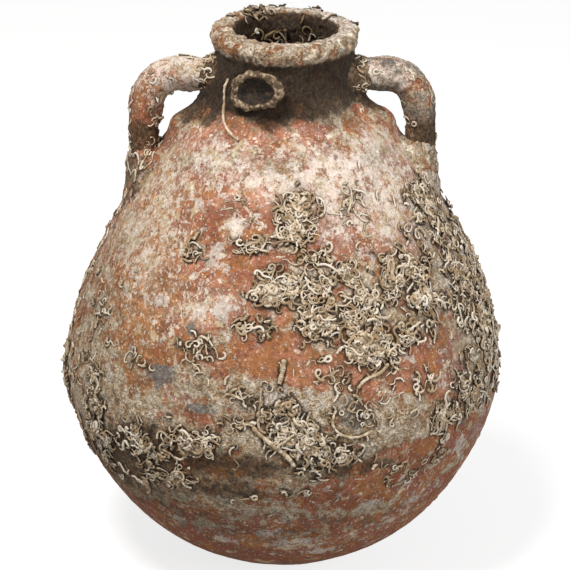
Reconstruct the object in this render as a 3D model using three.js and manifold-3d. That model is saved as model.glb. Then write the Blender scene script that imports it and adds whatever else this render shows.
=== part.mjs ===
// Transport amphora recovered from the sea: a pear-shaped clay jar with a rolled rim, two loop
// handles and colonies of limy worm tubes grown on its wall.
// Units are millimetres. +Z is up and the jar's axis is Z. The handles stand near -X and +X, and the
// front, with most of the growth, faces -Y. The origin is the centre of the foot's flat underside.

import * as THREE from "three";
import { mergeVertices } from "three/addons/utils/BufferGeometryUtils.js";
import Module from "manifold-3d";

const wasm = await Module();
wasm.setup();

// Foot button and the stem that plugs the hole in the floor
const FOOT_RADIUS = 27;
const FOOT_HEIGHT = 5;
const FOOT_EDGE = 2;
const STEM_RADIUS = 13;
const STEM_CLEARANCE = 0.3;

// Body, thrown as a lower bowl and an upper dome that meet at the widest line
const BELLY_RADIUS = 156;
const BELLY_HEIGHT = 146;
const FLOOR_PULL = 84;
const FLOOR_SLOPE = 4;
const BELLY_PULL_DOWN = 43;
const BELLY_PULL_UP = 63;
const SHOULDER_RADIUS = 66;
const SHOULDER_HEIGHT = 338;
const SHOULDER_SLOPE = 32;
const SHOULDER_PULL = 24;

// Neck and rim
const NECK_HEIGHT = 42;
const NECK_RADIUS = 48;
const NECK_FLARE = 9;
const NECK_PULL = 24;
const RIM_HEIGHT = 20;
const RIM_OVERHANG = 3.5;
const RIM_UNDERCUT = 9;
const RIM_LAND = 7;
const RIM_OUTER_ROUND = 5.5;
const RIM_LIP = 3;

// Wall thickness
const FLOOR_WALL = 12;
const BELLY_WALL = 8;
const SHOULDER_WALL = 10;
const NECK_WALL = 12;
const THROAT_FLARE = 7;

// Handles: span is from the neck's wall to the middle of the upright arm
const LEFT_HANDLE_SPAN = 51;
const RIGHT_HANDLE_SPAN = 48;
const HANDLE_TURN = 2.3;
const HANDLE_DROP = 12.5;
const HANDLE_ROOT_DROP = 15.5;
const HANDLE_ELBOW = 26;
const ELBOW_ROUNDNESS = 0.55;
const HANDLE_THICKNESS = 21;
const HANDLE_WIDTH = 27;

// Pads of clay smeared round each handle root
const NECK_PAD_COVER = 9;
const NECK_PAD_DEPTH = 11;
const FOOT_PAD_COVER = 8;
const FOOT_PAD_DEPTH = 8;
const FOOT_PAD_TAIL = 11;

// Sea growth: cakes of lime
const CRUST_GAP = 0.5;
const CRUST_EDGE = 1.4;
const CRUST_THICKNESS = 4.2;
const EDGE_BROAD_WAVE = 0.16;
const EDGE_FINE_WAVE = 0.12;
const FIRST_SEED = 41;
const HIGH_RIGHT_HALF_WIDTH = 8;
const HIGH_RIGHT_GAP = 1.5;
const MOUTH_COLONY_TURN = 170;
const MOUTH_COLONY_DROP = 14;
const MOUTH_COLONY_SPREAD = 27;
const MOUTH_COLONY_RISE = 10;

// Sea growth: worm tubes. Where a tube starts and how long it is are shares of its colony's half size.
const THIN_TUBE_RADIUS = 1.8;
const THICK_TUBE_RADIUS = 2.4;
const TUBE_START = 0.25;
const SHORTEST_TUBE = 0.35;
const LONGEST_TUBE = 0.55;
const HEADING_JITTER = 0.6;
const WANDER_BEND = 0.75;
const WANDER_RATE = 1.4;
const WANDER_JITTER = 0.5;
const CURL_TURNS = 1.2;
const CURL_INNER = 2.6;
const CURL_OUTER = 7.5;
const CURL_OFFSET = 0.3;

// Sea growth: the oyster valve on the neck
const SHELL_LENGTH = 36;
const SHELL_BREADTH = 29;
const SHELL_DEPTH = 16;
const SHELL_LIFT = 9;
const SHELL_WALL = 2.6;
const SHELL_LEVEL = 2.68;
const SHELL_TURN = 20;

// Clearance between a piece and the clay that it is seated on
const SEAT_GAP = 0.3;

// Facets
const ROUND_SEGMENTS = 40;
const HANDLE_SIDES = 12;
const HANDLE_STEPS = 16;
const PAD_AROUND = 16;
const PAD_ALONG = 8;
const TUBE_SIDES = 5;
const TUBE_STEPS = 8;
const WANDER_POINTS = 7;
const CURL_POINTS = 9;
const ROUND_OVER_STEPS = 3;
const LOWER_STEPS = 9;
const UPPER_STEPS = 9;
const NECK_STEPS = 5;
const INSIDE_STEPS = 6;
const THROAT_STEPS = 4;
const CRUST_RINGS = 2;
const CRUST_SPOKES = 11;

const deg = THREE.MathUtils.degToRad;
const NECK_TOP = SHOULDER_HEIGHT + NECK_HEIGHT;
const RIM_TOP = NECK_TOP + RIM_HEIGHT;
const THROAT_RADIUS = NECK_RADIUS - NECK_WALL;
const MOUTH_RADIUS = THROAT_RADIUS - RIM_LIP;

// Colours and finish of the fired clay and of what grew on it
const clay = new THREE.MeshStandardMaterial({ color: 0xb5755a, roughness: 0.85, metalness: 0 });
const paleClay = new THREE.MeshStandardMaterial({ color: 0xc09a80, roughness: 0.9, metalness: 0 });
const limeCrust = new THREE.MeshStandardMaterial({ color: 0xcdbf9f, roughness: 0.95, metalness: 0 });
const shellLime = new THREE.MeshStandardMaterial({ color: 0x9c8a75, roughness: 0.8, metalness: 0 });

// Outline of the jar as curves, radius across and height up

// Lower bowl: from the foot's edge to the widest line
const lowerCurve = new THREE.CubicBezierCurve(
  new THREE.Vector2(FOOT_RADIUS, FOOT_HEIGHT),
  new THREE.Vector2(
    FOOT_RADIUS + FLOOR_PULL * Math.cos(deg(FLOOR_SLOPE)),
    FOOT_HEIGHT + FLOOR_PULL * Math.sin(deg(FLOOR_SLOPE)),
  ),
  new THREE.Vector2(BELLY_RADIUS, BELLY_HEIGHT - BELLY_PULL_DOWN),
  new THREE.Vector2(BELLY_RADIUS, BELLY_HEIGHT),
);

// Upper dome: from the widest line to the bevel that carries the neck
const shoulderRun = new THREE.Vector2(-Math.cos(deg(SHOULDER_SLOPE)), Math.sin(deg(SHOULDER_SLOPE)));
const shoulderEnd = new THREE.Vector2(SHOULDER_RADIUS, SHOULDER_HEIGHT);
const upperCurve = new THREE.CubicBezierCurve(
  new THREE.Vector2(BELLY_RADIUS, BELLY_HEIGHT),
  new THREE.Vector2(BELLY_RADIUS, BELLY_HEIGHT + BELLY_PULL_UP),
  shoulderEnd.clone().addScaledVector(shoulderRun, -SHOULDER_PULL),
  shoulderEnd,
);

// Neck: it leaves the shoulder at the shoulder's slope and ends upright under the rim
const neckCurve = new THREE.CubicBezierCurve(
  shoulderEnd,
  shoulderEnd.clone().addScaledVector(shoulderRun, NECK_FLARE),
  new THREE.Vector2(NECK_RADIUS, NECK_TOP - NECK_PULL),
  new THREE.Vector2(NECK_RADIUS, NECK_TOP),
);

// Throat: the neck's inner wall, from the flat joint with the shoulder up to the rim
const jointInner = new THREE.Vector2(
  SHOULDER_RADIUS - SHOULDER_WALL / Math.sin(deg(SHOULDER_SLOPE)),
  SHOULDER_HEIGHT,
);
const throatCurve = new THREE.CubicBezierCurve(
  jointInner,
  jointInner.clone().addScaledVector(shoulderRun, THROAT_FLARE),
  new THREE.Vector2(THROAT_RADIUS, NECK_TOP - NECK_PULL),
  new THREE.Vector2(THROAT_RADIUS, NECK_TOP),
);

// Points on a curve moved off it, inwards where distance is positive. The distance may vary along it.
function offsetPoints(curve, count, distance) {
  const points = [];
  for (let i = 0; i <= count; i++) {
    const t = i / count;
    const along = curve.getTangentAt(t);
    const inward = new THREE.Vector2(-along.y, along.x);
    points.push(curve.getPointAt(t).addScaledVector(inward, distance(t)));
  }
  return points;
}

const between = (from, to) => (t) => from + (to - from) * t;
const onCurve = () => 0;

// A closed outline turned about the Z axis
function turned(outline) {
  const closed = [...outline, outline[0]];
  return new THREE.LatheGeometry(closed, ROUND_SEGMENTS).rotateX(Math.PI / 2);
}

// A three.js geometry as a manifold solid that faces out
function toSolid(geometry) {
  const bare = geometry.index ? geometry.toNonIndexed() : geometry.clone();
  bare.deleteAttribute("normal");
  bare.deleteAttribute("uv");
  const merged = mergeVertices(bare, 1e-4);
  const index = new Uint32Array(merged.index.array);
  const build = () =>
    new wasm.Manifold(
      new wasm.Mesh({
        numProp: 3,
        vertProperties: merged.attributes.position.array,
        triVerts: index,
      }),
    );
  const solid = build();
  if (solid.volume() >= 0) return solid;
  for (let i = 0; i < index.length; i += 3) {
    [index[i + 1], index[i + 2]] = [index[i + 2], index[i + 1]];
  }
  return build();
}

// The largest body of a manifold solid as a three.js geometry
function toGeometry(solid) {
  const bodies = solid.decompose();
  const largest = bodies.reduce((a, b) => (b.volume() > a.volume() ? b : a));
  const mesh = largest.getMesh();
  const geometry = new THREE.BufferGeometry();
  geometry.setAttribute("position", new THREE.BufferAttribute(mesh.vertProperties, mesh.numProp));
  geometry.setIndex(new THREE.BufferAttribute(mesh.triVerts, 1));
  return geometry;
}

function piece(name, geometry, material) {
  const mesh = new THREE.Mesh(geometry, material);
  mesh.name = name;
  return mesh;
}

// Jar wall

const FLOOR_TOP = FOOT_HEIGHT + FLOOR_WALL;

function footButton() {
  return turned([
    new THREE.Vector2(0, 0),
    new THREE.Vector2(FOOT_RADIUS - FOOT_EDGE, 0),
    new THREE.Vector2(FOOT_RADIUS, FOOT_EDGE),
    new THREE.Vector2(FOOT_RADIUS, FOOT_HEIGHT),
    new THREE.Vector2(STEM_RADIUS, FOOT_HEIGHT),
    new THREE.Vector2(STEM_RADIUS, FLOOR_TOP),
    new THREE.Vector2(0, FLOOR_TOP),
  ]);
}

function lowerBody() {
  const outer = offsetPoints(lowerCurve, LOWER_STEPS, onCurve);
  const inner = offsetPoints(lowerCurve, INSIDE_STEPS, between(FLOOR_WALL, BELLY_WALL));
  inner[0].y = FLOOR_TOP;
  inner[INSIDE_STEPS].y = BELLY_HEIGHT;
  const hole = STEM_RADIUS + STEM_CLEARANCE;
  return turned([
    new THREE.Vector2(hole, FOOT_HEIGHT),
    ...outer,
    ...inner.reverse(),
    new THREE.Vector2(hole, FLOOR_TOP),
  ]);
}

function upperBody() {
  const outer = offsetPoints(upperCurve, UPPER_STEPS, onCurve);
  const inner = offsetPoints(upperCurve, INSIDE_STEPS, between(BELLY_WALL, SHOULDER_WALL));
  inner[0].y = BELLY_HEIGHT;
  return turned([...outer, jointInner, ...inner.reverse()]);
}

function neck() {
  const outer = offsetPoints(neckCurve, NECK_STEPS, onCurve);
  const inner = offsetPoints(throatCurve, THROAT_STEPS, onCurve);
  return turned([...outer, ...inner.reverse()]);
}

// A quarter of an ellipse about a centre, counted from the angle where it starts, without its first point
function quarter(centreX, centreY, radiusX, radiusY, startDegrees) {
  const points = [];
  for (let i = 1; i <= ROUND_OVER_STEPS; i++) {
    const a = deg(startDegrees + (90 * i) / ROUND_OVER_STEPS);
    points.push(new THREE.Vector2(centreX + radiusX * Math.cos(a), centreY + radiusY * Math.sin(a)));
  }
  return points;
}

function rim() {
  const widest = NECK_TOP + RIM_UNDERCUT;
  const outerRadius = NECK_RADIUS + RIM_OVERHANG;
  const landOuter = outerRadius - RIM_OUTER_ROUND;
  const landInner = landOuter - RIM_LAND;
  return turned([
    new THREE.Vector2(THROAT_RADIUS, NECK_TOP),
    new THREE.Vector2(NECK_RADIUS, NECK_TOP),
    ...quarter(NECK_RADIUS, widest, RIM_OVERHANG, RIM_UNDERCUT, -90),
    ...quarter(landOuter, widest, RIM_OUTER_ROUND, RIM_TOP - widest, 0),
    new THREE.Vector2(landInner, RIM_TOP),
    ...quarter(landInner, widest, landInner - MOUTH_RADIUS, RIM_TOP - widest, 90),
  ]);
}

// The jar's outside as one filled solid, a little larger, that cuts whatever is seated on it
function wallCutter() {
  const grow = () => -SEAT_GAP;
  const lower = offsetPoints(lowerCurve, LOWER_STEPS, grow);
  const upper = offsetPoints(upperCurve, UPPER_STEPS, grow);
  const neckLine = offsetPoints(neckCurve, NECK_STEPS, grow);
  const outline = [...lower, ...upper.slice(1), ...neckLine.slice(1)];
  const bottom = new THREE.Vector2(0, outline[0].y);
  const top = new THREE.Vector2(0, outline[outline.length - 1].y);
  return toSolid(turned([bottom, ...outline, top]));
}

const seat = wallCutter();

// Handles, drawn towards +X and then turned to their place

// The shoulder's point at a radius, with the directions along and out of the wall there
function shoulderAt(radius) {
  const halvings = 40;
  let low = 0;
  let high = 1;
  for (let i = 0; i < halvings; i++) {
    const t = (low + high) / 2;
    if (upperCurve.getPointAt(t).x > radius) low = t;
    else high = t;
  }
  const point = upperCurve.getPointAt(low);
  const along = upperCurve.getTangentAt(low);
  return {
    point: new THREE.Vector3(point.x, 0, point.y),
    up: new THREE.Vector3(along.x, 0, along.y),
    out: new THREE.Vector3(along.y, 0, -along.x),
  };
}

// Out from the neck, round the elbow and down into the shoulder
function handlePath(reach) {
  const top = NECK_TOP - HANDLE_DROP;
  const rootInNeck = new THREE.Vector3(NECK_RADIUS - NECK_WALL / 2, 0, NECK_TOP - HANDLE_ROOT_DROP);
  const elbowStart = new THREE.Vector3(reach - HANDLE_ELBOW, 0, top);
  const elbowCorner = new THREE.Vector3(reach, 0, top);
  const elbowEnd = new THREE.Vector3(reach, 0, top - HANDLE_ELBOW);
  const rootInShoulder = shoulderAt(reach).point;
  rootInShoulder.z -= SHOULDER_WALL / 2;
  const path = new THREE.CurvePath();
  path.add(new THREE.LineCurve3(rootInNeck, elbowStart));
  path.add(
    new THREE.CubicBezierCurve3(
      elbowStart,
      elbowStart.clone().lerp(elbowCorner, ELBOW_ROUNDNESS),
      elbowEnd.clone().lerp(elbowCorner, ELBOW_ROUNDNESS),
      elbowEnd,
    ),
  );
  path.add(new THREE.LineCurve3(elbowEnd, rootInShoulder));
  return path;
}

// A shape with the given number of sides inscribed in an oval
function oval(halfX, halfY, sides) {
  const shape = new THREE.Shape();
  for (let i = 0; i < sides; i++) {
    const a = (2 * Math.PI * i) / sides;
    const x = halfX * Math.cos(a);
    const y = halfY * Math.sin(a);
    if (i === 0) shape.moveTo(x, y);
    else shape.lineTo(x, y);
  }
  shape.closePath();
  return shape;
}

// An oval bar along the handle's path, widened all round by grow
function handleBar({ reach, turn }, grow) {
  const section = oval(HANDLE_THICKNESS / 2 + grow, HANDLE_WIDTH / 2 + grow, HANDLE_SIDES);
  const settings = { extrudePath: handlePath(reach), steps: HANDLE_STEPS, bevelEnabled: false };
  return toSolid(new THREE.ExtrudeGeometry(section, settings)).rotate([0, 0, turn]);
}

// A flattened ball with its three half sizes along out, up and across
function flattenedBall(centre, out, up, halfOut, halfUp, halfAcross) {
  const across = new THREE.Vector3().crossVectors(up, out);
  const frame = new THREE.Matrix4().makeBasis(
    across.multiplyScalar(halfAcross),
    up.clone().multiplyScalar(halfUp),
    out.clone().multiplyScalar(halfOut),
  );
  frame.setPosition(centre);
  return toSolid(new THREE.SphereGeometry(1, PAD_AROUND, PAD_ALONG).applyMatrix4(frame));
}

const AXIS_X = new THREE.Vector3(1, 0, 0);
const AXIS_Z = new THREE.Vector3(0, 0, 1);

// Clay smeared round the handle where it leaves the neck
function neckPad(handle) {
  const centre = new THREE.Vector3(NECK_RADIUS, 0, NECK_TOP - HANDLE_ROOT_DROP);
  const halfUp = HANDLE_THICKNESS / 2 + NECK_PAD_COVER / 2;
  const halfAcross = HANDLE_WIDTH / 2 + NECK_PAD_COVER;
  return flattenedBall(centre, AXIS_X, AXIS_Z, NECK_PAD_DEPTH, halfUp, halfAcross)
    .rotate([0, 0, handle.turn])
    .subtract(handleBar(handle, SEAT_GAP))
    .subtract(seat);
}

const footPadHalfAcross = HANDLE_WIDTH / 2 + FOOT_PAD_COVER;

// Clay smeared round the handle's foot and some way down the shoulder
function footPad(handle) {
  const { point, up, out } = shoulderAt(handle.reach);
  const centre = point.addScaledVector(up, -FOOT_PAD_TAIL / 2);
  const halfUp = HANDLE_THICKNESS / 2 + FOOT_PAD_COVER + FOOT_PAD_TAIL / 2;
  return flattenedBall(centre, out, up, FOOT_PAD_DEPTH, halfUp, footPadHalfAcross)
    .rotate([0, 0, handle.turn])
    .subtract(handleBar(handle, SEAT_GAP))
    .subtract(seat);
}

function addHandle(group, handle) {
  const bar = handleBar(handle, 0).subtract(seat);
  group.add(piece(`${handle.side}_handle`, toGeometry(bar), clay));
  group.add(piece(`${handle.side}_handle_neck_pad`, toGeometry(neckPad(handle)), paleClay));
  group.add(piece(`${handle.side}_handle_foot_pad`, toGeometry(footPad(handle)), paleClay));
}

// Sea growth

// A repeatable stream of numbers from 0 to 1
function randomFrom(seed) {
  let state = seed;
  return () => {
    state = (Math.imul(state, 1664525) + 1013904223) >>> 0;
    return state / 2 ** 32;
  };
}

// The outside from the foot's edge to the rim. A level counts its curves: 0 is the foot's edge, 1 the
// widest line, 2 the shoulder and 3 the top of the neck, and a share of a level is that share of the
// curve's length.
const wallCurves = [lowerCurve, upperCurve, neckCurve];
const curveLengths = wallCurves.map((curve) => curve.getLength());
const outside = new THREE.CurvePath();
for (const curve of wallCurves) outside.add(curve);
const OUTSIDE_LENGTH = outside.getLength();

const curveAtLevel = (level) => Math.min(Math.floor(level), wallCurves.length - 1);

// How far along the outside, from the foot's edge, a level lies
function distanceTo(level) {
  const curve = curveAtLevel(level);
  const below = curveLengths.slice(0, curve).reduce((sum, length) => sum + length, 0);
  return below + (level - curve) * curveLengths[curve];
}

const radiusAt = (level) => outside.getPointAt(distanceTo(level) / OUTSIDE_LENGTH).x;

// Azimuth is 0 at the front and runs towards the right handle
const FRONT = -90;

// A map of the outer wall round a place: across and up along the surface, and lift off it
function wallMap(azimuth, level) {
  const start = distanceTo(level);
  const middleRadius = radiusAt(level);
  return (across, up, lift) => {
    const share = THREE.MathUtils.clamp((start + up) / OUTSIDE_LENGTH, 0, 1);
    const point = outside.getPointAt(share);
    const along = outside.getTangentAt(share);
    const radius = point.x + along.y * lift;
    const angle = deg(azimuth + FRONT) + across / middleRadius;
    const z = point.y - along.x * lift;
    return new THREE.Vector3(radius * Math.cos(angle), radius * Math.sin(angle), z);
  };
}

// The same for the throat's inner wall, where lift points to the axis
function throatMap(azimuth, height) {
  return (across, up, lift) => {
    const angle = deg(azimuth + FRONT) - across / THROAT_RADIUS;
    const radius = THROAT_RADIUS - lift;
    return new THREE.Vector3(radius * Math.cos(angle), radius * Math.sin(angle), height + up);
  };
}

// The wavy edge of a cake of lime, as a share of its plain oval at each angle
function wavyEdge(random) {
  const broadPhase = 2 * Math.PI * random();
  const finePhase = 2 * Math.PI * random();
  return (a) => {
    const broad = EDGE_BROAD_WAVE * Math.sin(2 * a + broadPhase);
    const fine = EDGE_FINE_WAVE * Math.sin(3 * a + finePhase);
    return 1 + broad + fine;
  };
}

// A cake of lime with a wavy edge, thickest in the middle, lying just off the wall
function crustCake(map, halfAcross, halfUp, random) {
  const edge = wavyEdge(random);
  const vertices = [];
  for (const isTop of [true, false]) {
    vertices.push(...map(0, 0, CRUST_GAP + (isTop ? CRUST_THICKNESS : 0)).toArray());
    for (let ring = 1; ring <= CRUST_RINGS; ring++) {
      const share = ring / CRUST_RINGS;
      const height = CRUST_EDGE + (CRUST_THICKNESS - CRUST_EDGE) * (1 - share * share);
      const lift = CRUST_GAP + (isTop ? height : 0);
      for (let spoke = 0; spoke < CRUST_SPOKES; spoke++) {
        const a = (2 * Math.PI * spoke) / CRUST_SPOKES;
        const reach = share * edge(a);
        const across = halfAcross * reach * Math.cos(a);
        const up = halfUp * reach * Math.sin(a);
        vertices.push(...map(across, up, lift).toArray());
      }
    }
  }
  const perSide = 1 + CRUST_RINGS * CRUST_SPOKES;
  const at = (side, ring, spoke) => {
    const inSide = ring === 0 ? 0 : 1 + (ring - 1) * CRUST_SPOKES + (spoke % CRUST_SPOKES);
    return side * perSide + inSide;
  };
  const faces = [];
  for (let spoke = 0; spoke < CRUST_SPOKES; spoke++) {
    for (const side of [0, 1]) {
      const next = spoke + 1;
      const triangle = (a, b, c) => faces.push(...(side === 0 ? [a, b, c] : [a, c, b]));
      triangle(at(side, 0, 0), at(side, 1, spoke), at(side, 1, next));
      for (let ring = 1; ring < CRUST_RINGS; ring++) {
        triangle(at(side, ring, spoke), at(side, ring + 1, spoke), at(side, ring + 1, next));
        triangle(at(side, ring, spoke), at(side, ring + 1, next), at(side, ring, next));
      }
    }
    const top = at(0, CRUST_RINGS, spoke);
    const topNext = at(0, CRUST_RINGS, spoke + 1);
    const under = at(1, CRUST_RINGS, spoke);
    const underNext = at(1, CRUST_RINGS, spoke + 1);
    faces.push(top, under, underNext);
    faces.push(top, underNext, topNext);
  }
  const geometry = new THREE.BufferGeometry();
  geometry.setAttribute("position", new THREE.Float32BufferAttribute(vertices, 3));
  geometry.setIndex(faces);
  return toSolid(geometry);
}

// A worm's limy tube along points of the wall
function wormTube(points, radius) {
  const settings = {
    extrudePath: new THREE.CatmullRomCurve3(points),
    steps: TUBE_STEPS,
    bevelEnabled: false,
  };
  return toSolid(new THREE.ExtrudeGeometry(oval(radius, radius, TUBE_SIDES), settings));
}

// A tube that wanders over the wall, bending one way and then the other, with its mouth raised
function wanderingTube(map, start, radius, length, bend, random) {
  const step = length / WANDER_POINTS;
  const lift = CRUST_GAP + SEAT_GAP + radius;
  const points = [];
  let { across, up, heading } = start;
  for (let i = 0; i <= WANDER_POINTS; i++) {
    points.push(map(across, up, i < WANDER_POINTS ? lift : lift + radius));
    across += step * Math.cos(heading);
    up += step * Math.sin(heading);
    heading += bend * Math.cos(WANDER_RATE * i) + WANDER_JITTER * (random() - 0.5);
  }
  return wormTube(points, radius);
}

// A tube curled on itself in a flat spiral that opens outwards
function curledTube(map, centreAcross, centreUp, radius) {
  const lift = CRUST_GAP + SEAT_GAP + radius;
  const points = [];
  for (let i = 0; i <= CURL_POINTS; i++) {
    const share = i / CURL_POINTS;
    const a = 2 * Math.PI * CURL_TURNS * share;
    const r = CURL_INNER + (CURL_OUTER - CURL_INNER) * share;
    points.push(map(centreAcross + r * Math.cos(a), centreUp + r * Math.sin(a), lift));
  }
  return wormTube(points, radius);
}

// A colony: one cake of lime with wandering tubes and perhaps a curl, all grown together
function colony(map, { halfAcross, halfUp, tubes, curl, seed }) {
  const random = randomFrom(seed);
  let solid = crustCake(map, halfAcross, halfUp, random);
  for (let i = 0; i < tubes; i++) {
    const heading = (2 * Math.PI * (i + HEADING_JITTER * random())) / tubes;
    const start = {
      across: TUBE_START * halfAcross * Math.cos(heading),
      up: TUBE_START * halfUp * Math.sin(heading),
      heading,
    };
    const length = (halfAcross + halfUp) * (SHORTEST_TUBE + (LONGEST_TUBE - SHORTEST_TUBE) * random());
    const bend = random() < 0.5 ? WANDER_BEND : -WANDER_BEND;
    const radius = THIN_TUBE_RADIUS + (THICK_TUBE_RADIUS - THIN_TUBE_RADIUS) * random();
    solid = solid.add(wanderingTube(map, start, radius, length, bend, random));
  }
  if (curl) {
    solid = solid.add(curledTube(map, CURL_OFFSET * halfAcross, CURL_OFFSET * halfUp, THIN_TUBE_RADIUS));
  }
  return toGeometry(solid);
}

// The colony beside the right handle's foot starts a gap away from the pad, whatever its wavy edge
const rightHandle = { side: "right", reach: NECK_RADIUS + RIGHT_HANDLE_SPAN, turn: 0 };
const padHalfTurn = THREE.MathUtils.radToDeg(footPadHalfAcross / rightHandle.reach);
const widestEdge = 1 + EDGE_BROAD_WAVE + EDGE_FINE_WAVE;
const highRightReach = padHalfTurn + HIGH_RIGHT_GAP + HIGH_RIGHT_HALF_WIDTH * widestEdge;
const highRightAzimuth = rightHandle.turn - FRONT - highRightReach;

// Colonies on the wall: name, azimuth and level of the middle, half width in degrees, half height in
// levels, number of tubes, and whether one more tube is curled
const colonies = [
  ["shoulder_front", 4, 1.73, 9.1, 0.088, 2, true],
  ["shoulder_left", -30, 1.623, 5.1, 0.056, 2, false],
  ["shoulder_ridge", -13, 1.607, 8.5, 0.037, 2, false],
  ["shoulder_right", 43, 1.467, 12.1, 0.102, 5, true],
  ["upper_front", -3, 1.513, 7.9, 0.051, 3, false],
  ["middle_front", 9, 1.376, 8.0, 0.079, 3, true],
  ["middle_left", -9, 1.396, 5.5, 0.032, 2, false],
  ["middle_right", 25.5, 1.341, 6.6, 0.07, 3, false],
  ["belly_left", -20, 1.286, 8.0, 0.06, 3, true],
  ["low_front", -1, 1.145, 7.2, 0.051, 3, true],
  ["low_left", -38, 0.956, 10.0, 0.079, 3, false],
  ["low_middle", -16, 1.009, 5.5, 0.051, 2, false],
  ["low_right", 35, 1.014, 6.2, 0.06, 2, true],
  ["under_front", 6, 0.874, 6.1, 0.044, 2, false],
  ["right_edge", 60, 1.056, 6.6, 0.083, 3, true],
  ["right_side", 78, 1.366, 11.3, 0.148, 4, true],
  ["left_edge", -64, 0.827, 7.0, 0.079, 2, false],
  ["left_side", -86, 1.02, 8.5, 0.1, 3, false],
  ["high_right", highRightAzimuth, 1.62, HIGH_RIGHT_HALF_WIDTH, 0.085, 3, false],
  ["right_flank", 101, 1.22, 7.5, 0.11, 3, true],
  ["back_right", 122, 1.42, 10.0, 0.1, 3, true],
  ["back_middle", 176, 1.37, 11.0, 0.1, 2, true],
  ["back_left", -119, 1.42, 10.0, 0.095, 3, true],
  ["back_low_right", 143, 1.07, 11.0, 0.1, 2, false],
  ["back_low_left", -150, 1.09, 11.0, 0.1, 2, false],
  ["back_under", -136, 0.76, 10.0, 0.085, 2, false],
];

function outerColony([place, azimuth, level, halfWidth, halfHeight, tubes, curl], index) {
  const shape = {
    halfAcross: radiusAt(level) * deg(halfWidth),
    halfUp: halfHeight * curveLengths[curveAtLevel(level)],
    tubes,
    curl,
    seed: FIRST_SEED + index,
  };
  return piece(`colony_${place}`, colony(wallMap(azimuth, level), shape), limeCrust);
}

function mouthColony() {
  const map = throatMap(MOUTH_COLONY_TURN, NECK_TOP - MOUTH_COLONY_DROP);
  const shape = {
    halfAcross: THROAT_RADIUS * deg(MOUTH_COLONY_SPREAD),
    halfUp: MOUTH_COLONY_RISE,
    tubes: 3,
    curl: false,
    seed: FIRST_SEED + colonies.length,
  };
  return piece("colony_in_mouth", colony(map, shape), limeCrust);
}

// Single tubes that cross bare clay, as azimuths and levels along the wall
const singleTubes = [
  {
    name: "tube_down_neck",
    radius: THIN_TUBE_RADIUS,
    line: [[-50, 2.81], [-51, 2.617], [-49, 2.368], [-44, 2.19], [-36, 2.037], [-27, 1.985]],
  },
  {
    name: "tube_upright_front",
    radius: THICK_TUBE_RADIUS,
    line: [[0.4, 1.296], [0.2, 1.266], [-0.8, 1.222]],
  },
  {
    name: "tube_hooked_right",
    radius: THIN_TUBE_RADIUS,
    line: [[29.4, 1.252], [27, 1.227], [22, 1.222], [20, 1.193]],
  },
  {
    name: "tube_long_low",
    radius: THICK_TUBE_RADIUS,
    line: [[-6, 1.074], [-2, 1.023], [2, 0.985], [3, 0.951]],
  },
  {
    name: "tube_wavy_low",
    radius: THIN_TUBE_RADIUS,
    line: [[13.6, 1.131], [12, 1.089], [15, 1.046], [19, 1.032], [23, 1.051]],
  },
];

function singleTube({ name, radius, line }) {
  const points = line.map(([azimuth, level]) => wallMap(azimuth, level)(0, 0, SEAT_GAP + radius));
  return piece(name, toGeometry(wormTube(points, radius)), limeCrust);
}

// The lower valve of an oyster, stuck to the neck by its back with the hollow facing out
function oysterValve() {
  const map = wallMap(-SHELL_TURN, SHELL_LEVEL);
  const centre = map(0, 0, SHELL_LIFT);
  const out = centre.clone().sub(map(0, 0, 0)).normalize();
  const across = new THREE.Vector3().crossVectors(AXIS_Z, out).normalize();
  const up = new THREE.Vector3().crossVectors(out, across);
  const halfUp = SHELL_BREADTH / 2;
  const halfAcross = SHELL_LENGTH / 2;
  const body = flattenedBall(centre, out, up, SHELL_DEPTH, halfUp, halfAcross);
  const hollow = flattenedBall(
    centre,
    out,
    up,
    SHELL_LIFT - SHELL_WALL,
    halfUp - SHELL_WALL,
    halfAcross - SHELL_WALL,
  );
  const cutSide = 3 * SHELL_LENGTH;
  const cutFrame = new THREE.Matrix4().makeBasis(out, across, up);
  cutFrame.setPosition(centre.clone().addScaledVector(out, cutSide / 2));
  const front = toSolid(new THREE.BoxGeometry(cutSide, cutSide, cutSide).applyMatrix4(cutFrame));
  const valve = body.subtract(hollow).subtract(front).subtract(seat);
  return piece("oyster_valve_on_neck", toGeometry(valve), shellLime);
}

const amphora = new THREE.Group();
amphora.name = "amphora";
amphora.add(piece("foot_button", footButton(), clay));
amphora.add(piece("lower_body", lowerBody(), clay));
amphora.add(piece("upper_body", upperBody(), clay));
amphora.add(piece("neck", neck(), clay));
amphora.add(piece("rim", rim(), clay));
addHandle(amphora, { side: "left", reach: NECK_RADIUS + LEFT_HANDLE_SPAN, turn: 180 + HANDLE_TURN });
addHandle(amphora, rightHandle);
amphora.add(oysterValve());
amphora.add(mouthColony());
for (const [index, row] of colonies.entries()) amphora.add(outerColony(row, index));
for (const tube of singleTubes) amphora.add(singleTube(tube));

export default amphora;
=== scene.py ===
# Looks of a transport amphora raised from the sea: weathered clay under a growth of limy worm tubes.
# Lengths are millimetres until a mesh is made. Z is the jar's axis, azimuth 0 is the front (-Y) and
# azimuth grows towards the right handle (+X).

import math

import bpy
import numpy as np
from mathutils import Matrix, Vector


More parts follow.
